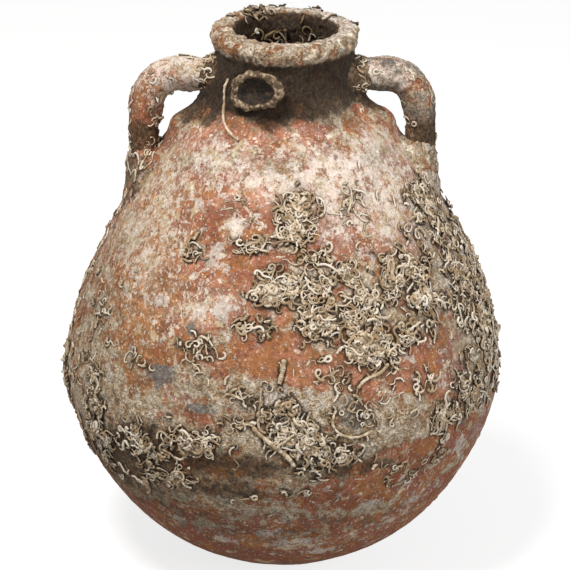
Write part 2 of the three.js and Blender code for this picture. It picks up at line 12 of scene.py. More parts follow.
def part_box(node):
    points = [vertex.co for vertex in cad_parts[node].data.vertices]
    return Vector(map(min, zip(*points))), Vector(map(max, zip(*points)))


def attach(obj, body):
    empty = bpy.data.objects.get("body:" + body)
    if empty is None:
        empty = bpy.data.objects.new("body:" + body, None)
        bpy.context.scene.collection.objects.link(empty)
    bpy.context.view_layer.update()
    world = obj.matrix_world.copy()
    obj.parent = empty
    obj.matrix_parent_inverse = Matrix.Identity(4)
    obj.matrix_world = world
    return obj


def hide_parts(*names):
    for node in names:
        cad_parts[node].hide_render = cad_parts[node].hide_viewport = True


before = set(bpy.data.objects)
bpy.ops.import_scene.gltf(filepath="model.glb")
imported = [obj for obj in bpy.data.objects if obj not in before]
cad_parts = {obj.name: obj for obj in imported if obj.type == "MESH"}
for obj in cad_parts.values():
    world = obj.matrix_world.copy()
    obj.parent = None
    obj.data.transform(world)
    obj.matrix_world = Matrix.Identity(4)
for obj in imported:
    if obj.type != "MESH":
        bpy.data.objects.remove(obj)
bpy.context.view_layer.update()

MM = 0.001
TURN = 2 * math.pi


def top_of(node):
    """Height of a node's highest point, in millimetres."""
    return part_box(node)[1].z / MM


def reach_of(node):
    """How far a node reaches towards +X, in millimetres."""
    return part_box(node)[1].x / MM


# Sizes, from the frame

FOOT_RADIUS = reach_of("foot_button")
FOOT_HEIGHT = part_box("lower_body")[0].z / MM
FLOOR_TOP = top_of("foot_button")
BELLY_RADIUS = reach_of("lower_body")
BELLY_HEIGHT = top_of("lower_body")
SHOULDER_HEIGHT = top_of("upper_body")
SHOULDER_RADIUS = reach_of("neck")
NECK_TOP = top_of("neck")
RIM_TOP = top_of("rim")
RIM_RADIUS = reach_of("rim")
FOOT_EDGE = 2
STEM_RADIUS = 13
STEM_CLEARANCE = 0.3
RIM_OVERHANG = 3.5
NECK_WALL = 12
MOUTH_LIP = 1
NECK_RADIUS = RIM_RADIUS - RIM_OVERHANG
THROAT_RADIUS = NECK_RADIUS - NECK_WALL
MOUTH_RADIUS = THROAT_RADIUS - MOUTH_LIP
BELLY_WALL = 9
FLOOR_SLOPE = 4
FLOOR_PULL = 84
BELLY_PULL_DOWN = 43
BELLY_PULL_UP = 63
SHOULDER_SLOPE = 32
SHOULDER_PULL = 24
NECK_FLARE = 9
NECK_PULL = 24
JOINT_DEPTH = 18.9
THROAT_FLARE = 7

LEFT_HANDLE_SPAN = 51
RIGHT_HANDLE_SPAN = 48
LEFT_REACH = NECK_RADIUS + LEFT_HANDLE_SPAN
RIGHT_REACH = NECK_RADIUS + RIGHT_HANDLE_SPAN
LEFT_HANDLE_TURN = 182.3
HANDLE_SUNK = 6
HANDLE_DROP = 12.5
HANDLE_ROOT_DROP = 15.5
HANDLE_ELBOW = 26
ELBOW_ROUNDNESS = 0.55
HANDLE_THICKNESS = 21
HANDLE_WIDTH = 27

SHELL_LEVEL = 0.68
SHELL_TURN = -20
SHELL_LENGTH = 36
SHELL_BREADTH = 27
SHELL_LIFT = 9

COLUMNS = 720
HANDLE_COLUMNS = 84
SHELL_COLUMNS = 110
OUTSIDE_SPACING = 1.3
INSIDE_SPACING = 12
THROAT_SPACING = 2.5


# Curves and noise


def bezier(p0, p1, p2, p3, count=200):
    """Points on a cubic curve from p0 to p3."""
    t = np.linspace(0, 1, count)[:, None]
    s = 1 - t
    p0, p1, p2, p3 = (np.array(p, float) for p in (p0, p1, p2, p3))
    return s**3 * p0 + 3 * s * s * t * p1 + 3 * s * t * t * p2 + t**3 * p3


def step_from(start, length, degrees):
    """The point at a distance from start, in a direction measured from outwards to up."""
    a = math.radians(degrees)
    return (start[0] + length * math.cos(a), start[1] + length * math.sin(a))


def resample(points, spacing):
    """The same line with evenly spaced points."""
    points = np.array(points, float)
    steps = np.linalg.norm(np.diff(points, axis=0), axis=1)
    run = np.concatenate([[0], np.cumsum(steps)])
    count = max(2, int(round(run[-1] / spacing)) + 1)
    at = np.linspace(0, run[-1], count)
    return np.stack([np.interp(at, run, points[:, k]) for k in range(points.shape[1])], axis=1)


def smoothstep(low, high, value):
    """0 at low, 1 at high, smooth between."""
    t = np.clip((value - low) / (high - low), 0, 1)
    return t * t * (3 - 2 * t)


def unit(vectors):
    """The same directions with length 1."""
    return vectors / np.maximum(np.linalg.norm(vectors, axis=-1, keepdims=True), 1e-9)


SLOPES = np.array(
    [(x, y, 0) for x in (1, -1) for y in (1, -1)]
    + [(x, 0, z) for x in (1, -1) for z in (1, -1)]
    + [(0, y, z) for y in (1, -1) for z in (1, -1)]
    + [(1, 1, 0), (-1, 1, 0), (0, -1, 1), (0, -1, -1)],
    np.float32,
)


def corner_slope(cell, seed):
    """A repeatable slope for each corner of a lattice."""
    mixed = cell[:, 0] * 374761393 + cell[:, 1] * 668265263 + cell[:, 2] * 1442695041 + seed * 974634777
    mixed = (mixed ^ (mixed >> 13)) * 1274126177
    mixed = mixed ^ (mixed >> 16)
    return SLOPES[mixed & 15]


def noise(points, scale, seed):
    """Smooth noise from about -1 to 1 whose bumps are about scale wide."""
    shape = points.shape[:-1]
    p = points.reshape(-1, 3) / scale
    cell = np.floor(p).astype(np.int64)
    f = (p - cell).astype(np.float32)
    fade = f * f * f * (f * (f * 6 - 15) + 10)
    total = np.zeros(len(p), np.float32)
    for corner in np.ndindex(2, 2, 2):
        offset = np.array(corner)
        slope = corner_slope(cell + offset, seed)
        weight = np.prod(np.where(offset, fade, 1 - fade), axis=1)
        total += weight * np.sum(slope * (f - offset), axis=1)
    return total.reshape(shape)


def rough(points, scale, octaves, seed):
    """Noise with finer noise on it, each octave half as wide and half as high."""
    total = 0
    for k in range(octaves):
        total = total + noise(points, scale / 2**k, seed + 17 * k) / 2**k
    return total


def layered(points, layers):
    """The sum of several noises, each given by its height, width and seed."""
    return sum(height * noise(points, width, seed) for height, width, seed in layers)


# Outline of the jar: radius and height along the outside, then down the inside

foot_edge = (FOOT_RADIUS, FOOT_HEIGHT)
widest = (BELLY_RADIUS, BELLY_HEIGHT)
shoulder_end = (SHOULDER_RADIUS, SHOULDER_HEIGHT)
neck_end = (NECK_RADIUS, NECK_TOP)

foot_line = [(1, 0), (FOOT_RADIUS - FOOT_EDGE, 0), (FOOT_RADIUS, FOOT_EDGE), foot_edge]
lower_line = bezier(
    foot_edge,
    step_from(foot_edge, FLOOR_PULL, FLOOR_SLOPE),
    (BELLY_RADIUS, BELLY_HEIGHT - BELLY_PULL_DOWN),
    widest,
)
upper_line = bezier(
    widest,
    (BELLY_RADIUS, BELLY_HEIGHT + BELLY_PULL_UP),
    step_from(shoulder_end, SHOULDER_PULL, -SHOULDER_SLOPE),
    shoulder_end,
)
neck_line = bezier(
    shoulder_end,
    step_from(shoulder_end, NECK_FLARE, 180 - SHOULDER_SLOPE),
    (NECK_RADIUS, NECK_TOP - NECK_PULL),
    neck_end,
)

# The rim's roll: its middle, underside and crown, and how round it is
ROLL_MIDDLE = (NECK_TOP + RIM_TOP) / 2 + 3
ROLL_UNDERSIDE = NECK_TOP + 9
ROLL_ROUND = 5
CROWN_RADIUS = RIM_RADIUS - 6.5
CROWN_ROUND = 4
INNER_CROWN_RADIUS = RIM_RADIUS - 11


def rim_line():
    """Round the rolled rim, from the top of the neck outside to the throat inside."""
    outermost = (RIM_RADIUS, ROLL_MIDDLE)
    crown = (CROWN_RADIUS, RIM_TOP)
    inner_crown = (INNER_CROWN_RADIUS, RIM_TOP)
    mouth = (MOUTH_RADIUS, ROLL_MIDDLE)
    throat_top = (THROAT_RADIUS, NECK_TOP)
    under_neck = (NECK_RADIUS + 0.3, ROLL_UNDERSIDE)
    under_roll = (RIM_RADIUS, ROLL_UNDERSIDE - 1)
    under = bezier(neck_end, under_neck, under_roll, outermost, 20)
    rising = (RIM_RADIUS, ROLL_MIDDLE + ROLL_ROUND)
    over = bezier(outermost, rising, (CROWN_RADIUS + CROWN_ROUND, RIM_TOP), crown, 20)
    falling = (INNER_CROWN_RADIUS - 3, RIM_TOP)
    inside = bezier(inner_crown, falling, (MOUTH_RADIUS, ROLL_MIDDLE + CROWN_ROUND), mouth, 20)
    leaving = (MOUTH_RADIUS, ROLL_MIDDLE - ROLL_ROUND)
    throat = bezier(mouth, leaving, (THROAT_RADIUS, NECK_TOP + CROWN_ROUND), throat_top, 12)
    return np.concatenate([under, over[1:], inside, throat[1:]])


joint_inner = (SHOULDER_RADIUS - JOINT_DEPTH, SHOULDER_HEIGHT)
throat_line = bezier(
    (THROAT_RADIUS, NECK_TOP),
    (THROAT_RADIUS, NECK_TOP - NECK_PULL),
    step_from(joint_inner, THROAT_FLARE, 180 - SHOULDER_SLOPE),
    joint_inner,
)


def inside_of(line, thickness):
    """A line moved inwards by the wall's thickness."""
    along = unit(np.gradient(line, axis=0))
    inward = np.stack([-along[:, 1], along[:, 0]], axis=1)
    return line + inward * thickness


upper_inside = inside_of(upper_line, BELLY_WALL)[::-1]
below_joint = upper_inside[:, 1] < SHOULDER_HEIGHT - 4
upper_inside = np.concatenate([[joint_inner], upper_inside[below_joint]])
upper_inside[-1, 1] = BELLY_HEIGHT
lower_inside = inside_of(lower_line, BELLY_WALL + 2)[::-1]
lower_inside[0] = upper_inside[-1]
beyond_foot = lower_inside[:, 0] > FOOT_RADIUS
lower_inside = np.concatenate([lower_inside[beyond_foot], [(STEM_RADIUS, FLOOR_TOP)]])

SECTIONS = [
    ("foot", foot_line, OUTSIDE_SPACING),
    ("lower", lower_line, OUTSIDE_SPACING),
    ("upper", upper_line, OUTSIDE_SPACING),
    ("neck", neck_line, OUTSIDE_SPACING),
    ("rim", rim_line(), OUTSIDE_SPACING),
    ("throat", throat_line, THROAT_SPACING),
    ("upper_inside", upper_inside, INSIDE_SPACING),
    ("lower_inside", lower_inside, INSIDE_SPACING),
]


def whole_outline():
    """All sections end to end as one line, with the first and last row of each."""
    rows, spans = [], {}
    for name, line, spacing in SECTIONS:
        points = resample(line, spacing)
        start = max(len(rows) - 1, 0)
        rows.extend(points if not rows else points[1:])
        spans[name] = (start, len(rows) - 1)
    return np.array(rows), spans


outline, spans = whole_outline()
outline_run = np.concatenate([[0], np.cumsum(np.linalg.norm(np.diff(outline, axis=0), axis=1))])
outline_along = unit(np.gradient(outline, outline_run, axis=0))
outline_out = np.stack([outline_along[:, 1], -outline_along[:, 0]], axis=1)
OUTER_ROWS = spans["rim"][1] + 1
shoulder_slope = upper_line[np.argsort(upper_line[:, 0])]


def run_at_height(height):
    """Distance along the outside to a height on the foot, body or neck."""
    last = spans["neck"][1] + 1
    return np.interp(height, outline[:last, 1], outline_run[:last])


def shoulder_height_at(radius):
    """Height of the upper body's outside at a radius."""
    return np.interp(radius, shoulder_slope[:, 0], shoulder_slope[:, 1])


def around(radius, azimuth, height):
    """Points from cylindrical places."""
    x = radius * np.sin(azimuth)
    y = -radius * np.cos(azimuth)
    return np.stack(np.broadcast_arrays(x, y, height), axis=-1)


def grid_normals(points):
    """Across times along for a grid of points that closes round its columns."""
    along = np.gradient(points, axis=0)
    across = np.roll(points, -1, axis=1) - np.roll(points, 1, axis=1)
    return unit(np.cross(across, along))


class Skin:
    """A surface of rings on which growth sits: points by row and column, and the run of each row."""

    def __init__(self, points, out, run):
        self.points = points
        self.out = out
        self.run = run
        self.columns = points.shape[1]
        self.shade = np.zeros(points.shape[:2], np.float32)
        middle = points.mean(axis=1, keepdims=True)
        self.girth = np.linalg.norm(points - middle, axis=-1).mean(axis=1)

    def grid_place(self, turn, run):
        """Row and column of a place, with their fractions."""
        row = np.interp(run, self.run, np.arange(len(self.run)))
        return row, (turn + math.pi) * self.columns / TURN

    def sample(self, grid, turn, run):
        """Values of a grid between its rows and round its columns."""
        row, column = self.grid_place(turn, run)
        r = np.clip(np.floor(row).astype(int), 0, len(self.run) - 2)
        c = np.floor(column).astype(int)
        row_share, column_share = np.clip(row - r, 0, 1), column - c
        if grid.ndim == 3:
            row_share, column_share = row_share[..., None], column_share[..., None]
        a, b = c % self.columns, (c + 1) % self.columns
        low = grid[r, a] * (1 - column_share) + grid[r, b] * column_share
        high = grid[r + 1, a] * (1 - column_share) + grid[r + 1, b] * column_share
        return low * (1 - row_share) + high * row_share

    def place(self, turn, run, lift):
        """Places at a lift off the surface, with the way out of it there."""
        out = unit(self.sample(self.out, turn, run))
        return self.sample(self.points, turn, run) + out * lift[..., None], out

    def nearest(self, turn, run):
        """The nearest row and column of the grid."""
        row, column = self.grid_place(turn, run)
        rows = np.clip(np.round(row).astype(int), 0, len(self.run) - 1)
        return rows, np.round(column).astype(int) % self.columns

    def darken(self, turn, run, strength):
        """Notes where growth shades the surface."""
        r, c = self.nearest(turn, run)
        np.add.at(self.shade, (r.ravel(), c.ravel()), strength.ravel())

    def settle_shade(self, passes, gain):
        """Spreads the noted shade to the places around it."""
        grid = self.shade
        for _ in range(passes):
            grid = (np.roll(grid, 1, axis=1) + 2 * grid + np.roll(grid, -1, axis=1)) / 4
            padded = np.concatenate([grid[:1], grid, grid[-1:]])
            grid = (padded[:-2] + 2 * padded[1:-1] + padded[2:]) / 4
        self.shade = np.clip(gain * grid, 0, 1)


# Patches on the wall: azimuth in degrees, height, half width, half height, strength

LUSH_GROWTH = [
    (6, 296, 13, 17, 0.9), (3, 283, 10, 8, 0.9), (-8, 277, 22, 4, 0.8), (-31, 272, 8, 8, 0.8),
    (13, 268, 15, 8, 0.7), (0, 252, 23, 12, 1.0), (14, 257, 17, 9, 0.9), (20, 259, 11, 8, 0.7),
    (42, 251, 24, 19, 0.9), (48, 228, 21, 14, 0.8), (29, 241, 15, 10, 0.9), (14, 232, 25, 14, 1.0),
    (24, 214, 25, 15, 1.0), (37, 215, 16, 8, 0.7), (-8, 228, 12, 7, 0.9), (-20, 218, 16, 6, 0.5),
    (0, 173, 15, 12, 0.9), (4, 155, 20, 12, 0.8), (-9, 160, 16, 8, 0.5), (-20, 147, 22, 10, 0.7),
    (-37, 140, 34, 16, 0.8), (-55, 135, 25, 22, 0.7), (16, 142, 24, 10, 0.7), (5, 128, 16, 10, 0.7),
    (34, 151, 16, 9, 0.5), (46, 149, 18, 14, 0.6), (58, 161, 20, 18, 0.8), (72, 184, 22, 34, 0.9),
    (72, 243, 25, 30, 0.7), (66, 283, 19, 18, 0.8), (-47, 105, 40, 14, 0.5), (-28, 113, 22, 9, 0.4),
    (88, 215, 26, 60, 0.8), (-84, 140, 30, 30, 0.5), (-78, 100, 24, 16, 0.6),
]
THIN_GROWTH = [
    (-26, 204, 12, 8, 0.7), (-18, 198, 18, 12, 0.7), (6, 200, 12, 8, 0.9), (15, 194, 22, 8, 0.8),
    (-43, 193, 22, 7, 0.7), (-10, 180, 26, 10, 0.7), (20, 168, 24, 14, 0.7), (38, 180, 22, 12, 0.6),
    (-60, 170, 30, 26, 0.6), (-64, 210, 24, 40, 0.5), (52, 285, 34, 22, 0.7), (24, 300, 34, 16, 0.6),
    (-22, 296, 24, 14, 0.3), (62, 210, 24, 34, 0.6), (30, 190, 30, 12, 0.6), (-84, 230, 20, 60, 0.7),
    (-10, 110, 60, 12, 0.4), (40, 120, 40, 14, 0.4),
]
BACK_GROWTH = [
    (122, 238, 26, 20, 0.9), (101, 190, 20, 24, 0.8), (176, 229, 27, 20, 0.9), (-119, 238, 24, 19, 0.8),
    (143, 160, 30, 20, 0.9), (-150, 164, 29, 20, 0.8), (-136, 112, 26, 14, 0.8), (-86, 150, 24, 20, 0.8),
    (160, 196, 26, 14, 0.3), (-100, 196, 20, 20, 0.3),
]
PALE_HAZE = [
    (45, 302, 50, 40, 0.8), (62, 262, 36, 50, 0.8), (22, 318, 44, 16, 0.7), (-60, 292, 30, 40, 0.6),
    (-48, 262, 34, 30, 0.7), (-76, 250, 30, 50, 0.5), (-45, 225, 34, 25, 0.4), (-28, 232, 15, 12, 0.8),
    (-20, 240, 14, 10, 0.8), (0, 184, 22, 8, 1.0), (-18, 287, 8, 10, 0.9), (-28, 177, 34, 12, 0.6),
    (10, 62, 60, 18, 0.4), (-30, 72, 40, 15, 0.3), (42, 88, 34, 25, 0.4), (-10, 320, 50, 14, 0.7),
    (86, 230, 26, 70, 0.7), (30, 326, 60, 16, 0.6), (-40, 322, 40, 18, 0.7),
    (120, 290, 70, 50, 0.6), (-140, 280, 70, 50, 0.6), (180, 150, 90, 50, 0.4), (8, 302, 40, 20, 0.4),
    (70, 190, 30, 40, 0.6), (78, 150, 24, 40, 0.5), (-2, 88, 40, 10, 0.5), (-30, 96, 24, 8, 0.5),
    (-58, 282, 24, 30, 0.4), (74, 262, 20, 30, 0.6), (34, 300, 36, 26, 0.4),
]
OCHRE_TINT = [
    (-42, 205, 44, 60, 0.9), (-58, 245, 32, 44, 0.7), (-20, 122, 34, 14, 0.9), (-8, 148, 20, 8, 0.6),
    (-75, 180, 40, 60, 0.6), (34, 138, 20, 10, 0.5), (-120, 220, 60, 60, 0.6), (0, 185, 30, 14, 0.4),
    (-52, 285, 30, 40, 0.6), (-70, 300, 24, 40, 0.5), (-26, 92, 40, 10, 0.8), (20, 92, 30, 8, 0.5),
    (0, 56, 400, 44, 0.5), (180, 56, 400, 44, 0.5),
]
RED_TINT = [
    (-18, 286, 38, 22, 0.9), (12, 282, 26, 14, 0.6), (54, 200, 30, 30, 1.0), (30, 262, 18, 24, 0.8),
    (50, 110, 60, 30, 0.8), (-5, 262, 24, 12, 0.5), (62, 130, 30, 20, 0.6), (150, 240, 60, 50, 0.6),
    (-12, 236, 24, 16, 0.5), (-12, 210, 14, 12, 0.5), (20, 196, 22, 14, 0.4), (10, 100, 70, 16, 0.6),
    (0, 55, 400, 45, 0.8), (180, 55, 400, 45, 0.8),
]
MAUVE_TINT = [
    (60, 190, 34, 60, 0.9), (78, 230, 34, 70, 0.8), (50, 262, 34, 30, 0.5), (45, 322, 34, 20, 0.6),
    (58, 120, 40, 30, 0.5), (30, 345, 30, 14, 0.6), (-5, 96, 60, 12, 0.5), (110, 220, 60, 70, 0.5),
]
GREY_STAIN = [
    (-34, 188, 12, 9, 1.0), (-22, 172, 14, 5, 0.9), (19, 168, 9, 12, 1.0), (-27, 222, 6, 7, 0.7),
    (30, 198, 7, 7, 0.6), (5, 120, 24, 10, 0.4), (130, 200, 20, 20, 0.6), (-160, 230, 18, 14, 0.6),
]
LIME_FLAKES = [
    (5, 62, 12, 6, 1.0), (14, 46, 12, 5, 1.0), (-3, 72, 9, 5, 0.9), (42, 84, 7, 6, 0.9), (38, 68, 8, 5, 0.9),
    (-20, 58, 10, 5, 0.9), (-34, 72, 12, 5, 0.8), (25, 94, 8, 5, 0.8), (56, 122, 5, 11, 0.9),
    (62, 102, 5, 10, 0.9), (19, 268, 6, 4, 1.0), (-24, 268, 8, 7, 0.9), (-36, 296, 7, 8, 0.8),
    (0, 184, 20, 8, 1.0), (-18, 238, 9, 8, 0.9), (-40, 236, 8, 7, 0.8), (36, 198, 8, 9, 0.8),
    (48, 178, 9, 8, 0.8), (-60, 168, 7, 10, 0.8), (60, 236, 6, 9, 0.8), (140, 210, 12, 9, 0.8),
    (-130, 180, 12, 9, 0.8), (170, 270, 10, 8, 0.8), (-160, 90, 12, 6, 0.8), (110, 110, 9, 7, 0.8),
]
BEIGE_CRUST = [
    (-20, 186, 35, 22, 0.8), (-4, 182, 30, 12, 0.9), (12, 168, 26, 14, 1.0), (24, 160, 26, 16, 0.9),
    (0, 140, 60, 16, 0.6), (-60, 150, 40, 40, 0.5), (70, 220, 36, 70, 0.7), (36, 165, 24, 14, 0.5),
    (-170, 170, 80, 50, 0.5), (-10, 112, 50, 12, 0.7), (-72, 210, 30, 60, 0.6),
    (-24, 96, 40, 10, 0.6), (8, 92, 46, 9, 0.7), (-50, 120, 30, 14, 0.6), (36, 118, 30, 12, 0.5),
    (-78, 334, 16, 12, 0.8), (80, 336, 14, 10, 0.8), (-6, 330, 22, 7, 0.5), (28, 332, 16, 6, 0.4),
    (-48, 86, 30, 10, 0.7), (-22, 74, 26, 8, 0.7), (8, 70, 24, 7, 0.6), (32, 86, 22, 8, 0.6),
    (-48, 176, 26, 22, 0.6), (-62, 200, 22, 40, 0.5), (-36, 158, 26, 9, 0.7), (58, 104, 22, 12, 0.5),
    (-12, 322, 26, 7, 0.4), (-52, 318, 16, 8, 0.5), (52, 322, 16, 7, 0.5),
]
# Grime and painted shade: the wide bands low down darken the jar towards the bottom as painted shade
GRIME_AND_SHADE = [
    (-35, 138, 48, 18, 0.9), (-10, 134, 42, 12, 0.8), (20, 130, 42, 10, 0.7), (-55, 112, 50, 22, 0.9),
    (-15, 112, 40, 8, 0.7), (50, 148, 30, 16, 0.6), (75, 170, 24, 30, 0.4), (-88, 290, 20, 40, 0.4),
    (88, 300, 20, 30, 0.4), (170, 125, 90, 24, 0.6), (-70, 262, 14, 40, 0.3), (0, 80, 300, 26, 0.35),
    (-82, 338, 14, 11, 0.8), (84, 340, 12, 9, 0.7), (-60, 341, 12, 6, 0.5), (0, 60, 400, 46, 0.25),
    (-84, 318, 12, 12, 0.5), (0, 30, 400, 14, 0.3),
]
SWELLINGS = [
    (-80, 354, 15, 15, 6), (-62, 364, 9, 8, 2.5), (82, 346, 12, 10, 2.5), (86, 334, 12, 10, 6),
    (-88, 330, 12, 9, 5), (-30, 346, 7, 5, 3), (-14, 341, 5, 4, 2.5),
]


def patches(spots, azimuth, run):
    """How strongly any of the patches covers each place, 0 to 1."""
    bare = 1.0
    for az, height, half_across, half_up, strength in spots:
        there = run_at_height(height)
        radius = np.interp(there, outline_run, outline[:, 0])
        turn = (azimuth - math.radians(az) + math.pi) % TURN - math.pi
        across = turn * radius / half_across
        up = (run - there) / half_up
        bare = bare * (1 - strength * np.exp(-0.8 * (across * across + up * up)))
    return 1 - bare


column_azimuth = np.arange(COLUMNS) * TURN / COLUMNS - math.pi
wall = around(outline[:, :1], column_azimuth[None, :], outline[:, 1:])
wall_out = around(outline_out[:, :1], column_azimuth[None, :], outline_out[:, 1:])
wall_run = outline_run[:, None]
wall_azimuth = column_azimuth[None, :]
wall_height = wall[..., 2]
is_outer = np.arange(len(outline))[:, None] < OUTER_ROWS
NECK_START_RUN = run_at_height(SHOULDER_HEIGHT + 4)
NECK_END_RUN = run_at_height(NECK_TOP - 1)
rim_rows = slice(*spans["rim"])
RIM_CROWN_RUN = outline_run[rim_rows][np.argmax(outline[rim_rows, 1])] + 3


def on_wall(spots):
    """How strongly any of the patches covers each place of the wall."""
    return patches(spots, wall_azimuth, wall_run)


# Zones of the wall, 0 outside each and 1 within

NECK_EDGE = [(12, 34, 21), (11, 11, 20), (7, 4.5, 19)]
PINK_NECK = [(40, 350, 26, 12, 1.0)]
BARE_RIM_AZIMUTH = math.radians(176)
BARE_RIM_HALF_TURN = 0.13
BARE_RIM_HALF_WIDTH = 5

on_neck = smoothstep(NECK_START_RUN - 10, NECK_START_RUN + 12, wall_run + layered(wall, NECK_EDGE))
on_rim = smoothstep(NECK_END_RUN + 5, NECK_END_RUN + 10, wall_run + 2 * noise(wall, 9, 22))
below_rim = on_neck * (1 - on_rim)
neck_foot = 1 - smoothstep(NECK_START_RUN - 2, NECK_START_RUN + 12, wall_run + 8 * noise(wall, 13, 23))
under_rim = np.exp(-(((wall_run - NECK_END_RUN - 1) / 5) ** 2))
on_crown = smoothstep(RIM_CROWN_RUN - 12, RIM_CROWN_RUN - 3, wall_run)
in_mouth = smoothstep(RIM_CROWN_RUN + 2, RIM_CROWN_RUN + 10, wall_run)
bare_turn = (wall_azimuth - BARE_RIM_AZIMUTH) / BARE_RIM_HALF_TURN
bare_run = (wall_run - RIM_CROWN_RUN + BARE_RIM_HALF_WIDTH) / BARE_RIM_HALF_WIDTH
bare_rim = np.where(is_outer, np.exp(-(bare_turn**2 + bare_run**2)), 0)
pink_neck = on_wall(PINK_NECK)


def wall_fields():
    """One number for each place of the wall in every field that the clay's material reads."""
    growth = on_wall(LUSH_GROWTH + BACK_GROWTH)
    beige = on_wall(BEIGE_CRUST)
    crust = np.clip(beige + 0.8 * growth + 0.7 * on_neck + 0.5 * on_rim, 0, 1)
    ropes = np.clip(beige + 0.8 * growth, 0, 1) * (1 - on_rim)
    to_the_right = np.cos(wall_azimuth - math.radians(110))
    rim_haze = on_rim * (0.2 + 0.45 * to_the_right + 0.7 * on_crown) * (1 - in_mouth)
    # Grime and painted shade: the neck under the rim gets its brown dirt with the rim's painted shadow, and
    # the mouth and the inner rows are darkened as painted shade
    neck_grime_and_rim_shadow = (0.95 - 0.35 * neck_foot - 0.3 * pink_neck) * below_rim
    grime_and_shade = on_wall(GRIME_AND_SHADE) + neck_grime_and_rim_shadow + 0.25 * on_rim + in_mouth
    # Painted shade, named deep: near black on the neck under the rim, in a line under the rim's roll and in
    # the mouth
    neck_painted_shade = 1.1 * below_rim * (1 - neck_foot) * (1 - 0.5 * pink_neck)
    deep = 0.8 * in_mouth + neck_painted_shade + 0.8 * under_rim
    return {
        "haze": np.where(is_outer, on_wall(PALE_HAZE) + rim_haze, 0),
        "ochre": on_wall(OCHRE_TINT),
        "red": np.maximum(on_wall(RED_TINT), bare_rim),
        "mauve": on_wall(MAUVE_TINT),
        "grey": on_wall(GREY_STAIN),
        "flakes": on_wall(LIME_FLAKES),
        "crust": np.where(is_outer, crust, 0.4) * (1 - bare_rim),
        "ropes": np.where(is_outer, ropes, 0),
        "grime_and_shade": np.where(is_outer, np.clip(grime_and_shade, 0, 1.3), 1.3),
        # The inner rows are all in the painted shade of the deep field
        "deep": np.where(is_outer, np.clip(deep, 0, 1), 1.0),
    }


WALL_FIELDS = wall_fields()
THROWING_RING = 8


def wall_relief():
    """How far the real surface stands off the smooth outline."""
    crust = WALL_FIELDS["crust"]
    uneven = layered(wall, [(0.9, 70, 1), (0.4, 26, 2)])
    rings = 0.1 * np.sin(wall_height * TURN / THROWING_RING + 2 * noise(wall, 60, 3))
    lumps = rough(wall, 8, 3, 4)
    caked = crust * smoothstep(-0.25, 0.35, rough(wall, 14, 2, 6) + crust - 0.55)
    cake = caked * (0.7 + 1.5 * lumps + 0.6 * rough(wall, 4.5, 2, 8))
    grain = rough(wall, 2.8, 2, 5) * (0.1 + 0.45 * caked)
    pits = smoothstep(0.2, 0.55, noise(wall, 3.4, 12))
    rim_lumps = on_rim * (0.5 * rough(wall, 12, 3, 9) + 0.6 * noise(wall, 30, 10) - 0.9 - 0.6 * pits)
    relief = uneven + rings + cake + rim_lumps + grain + 0.15 * lumps
    for *spot, swelling in SWELLINGS:
        relief = relief + swelling * on_wall([(*spot, 1)])
    still = smoothstep(FOOT_HEIGHT - 1, FOOT_HEIGHT + 10, wall_height)
    return np.where(is_outer, relief * still, 0.5 * uneven)


jar = Skin(wall + wall_out * wall_relief()[..., None], wall_out, outline_run)


# Handles: oval bars and the clay smeared round their roots, swept along one path


def handle_path(reach):
    """Out from the neck, round the elbow and down into the shoulder, in the plane of +X."""
    top = NECK_TOP - HANDLE_DROP
    root = (NECK_RADIUS - HANDLE_SUNK, NECK_TOP - HANDLE_ROOT_DROP)
    start = (reach - HANDLE_ELBOW, top)
    end = (reach, top - HANDLE_ELBOW)
    pull = HANDLE_ELBOW * ELBOW_ROUNDNESS
    elbow = bezier(start, (start[0] + pull, top), (reach, end[1] + pull), end, 40)
    foot = (reach, shoulder_height_at(reach) - HANDLE_SUNK)
    return resample(np.concatenate([[root], elbow, [foot]]), 0.9)


NECK_PAD_RUN = 24
FOOT_PAD_RUN = 34
PAD_SINK = 0.9
BAR_SLIMMING = 0.8
INNER_FULLNESS = 3.5


def handle_section(part, run):
    """Which rows a part keeps, with the half height and half width of its section on each row."""
    end_run = run[-1]
    half_up = HANDLE_THICKNESS / 2
    half_side = HANDLE_WIDTH / 2
    if part == "bar":
        slim = BAR_SLIMMING * np.sin(run / end_run * math.pi)
        return np.full(len(run), True), half_up - 0.4 * slim, half_side - slim
    if part == "neck_pad":
        keep = run < NECK_PAD_RUN
        flare = (1 - smoothstep(2, NECK_PAD_RUN - 1, run)) ** 1.5
        flare_up, flare_side = 5.5, 10
    else:
        keep = run > end_run - FOOT_PAD_RUN
        flare = smoothstep(end_run - FOOT_PAD_RUN + 1, end_run - 2, run) ** 1.7
        flare_up, flare_side = 6.5, 11
    return keep, half_up - PAD_SINK + flare_up * flare, half_side - PAD_SINK + flare_side * flare


def handle_rings(reach, part):
    """Rings of points along the bar in the plane of +X, seated on the shoulder, and the run of each."""
    flat = handle_path(reach)
    run = np.concatenate([[0], np.cumsum(np.linalg.norm(np.diff(flat, axis=0), axis=1))])
    end_run = run[-1]
    path = np.stack([flat[:, 0], np.zeros(len(flat)), flat[:, 1]], axis=1)
    along = unit(np.gradient(path, axis=0))
    side = np.array([0.0, 1.0, 0.0])
    up = np.cross(along, side)
    keep, half_up, half_side = handle_section(part, run)
    angle = np.arange(HANDLE_COLUMNS) * TURN / HANDLE_COLUMNS - math.pi
    inner = np.clip(-np.cos(angle), 0, 1)[None]
    fuller = INNER_FULLNESS * smoothstep(8, 24, run) * smoothstep(end_run - 34, end_run - 50, run)
    half_up_round = half_up[:, None] + fuller[:, None] * inner
    spoke_up = (half_up_round * np.cos(angle))[..., None] * up[:, None]
    spoke_side = (half_side[:, None] * np.sin(angle))[..., None] * side
    points = path[:, None] + spoke_up + spoke_side
    seated = smoothstep(end_run - 30, end_run - 2, run)[:, None]
    fall = shoulder_height_at(np.hypot(points[..., 0], points[..., 1])) - shoulder_height_at(reach)
    points[..., 2] += seated * fall
    return points[keep], run[keep]


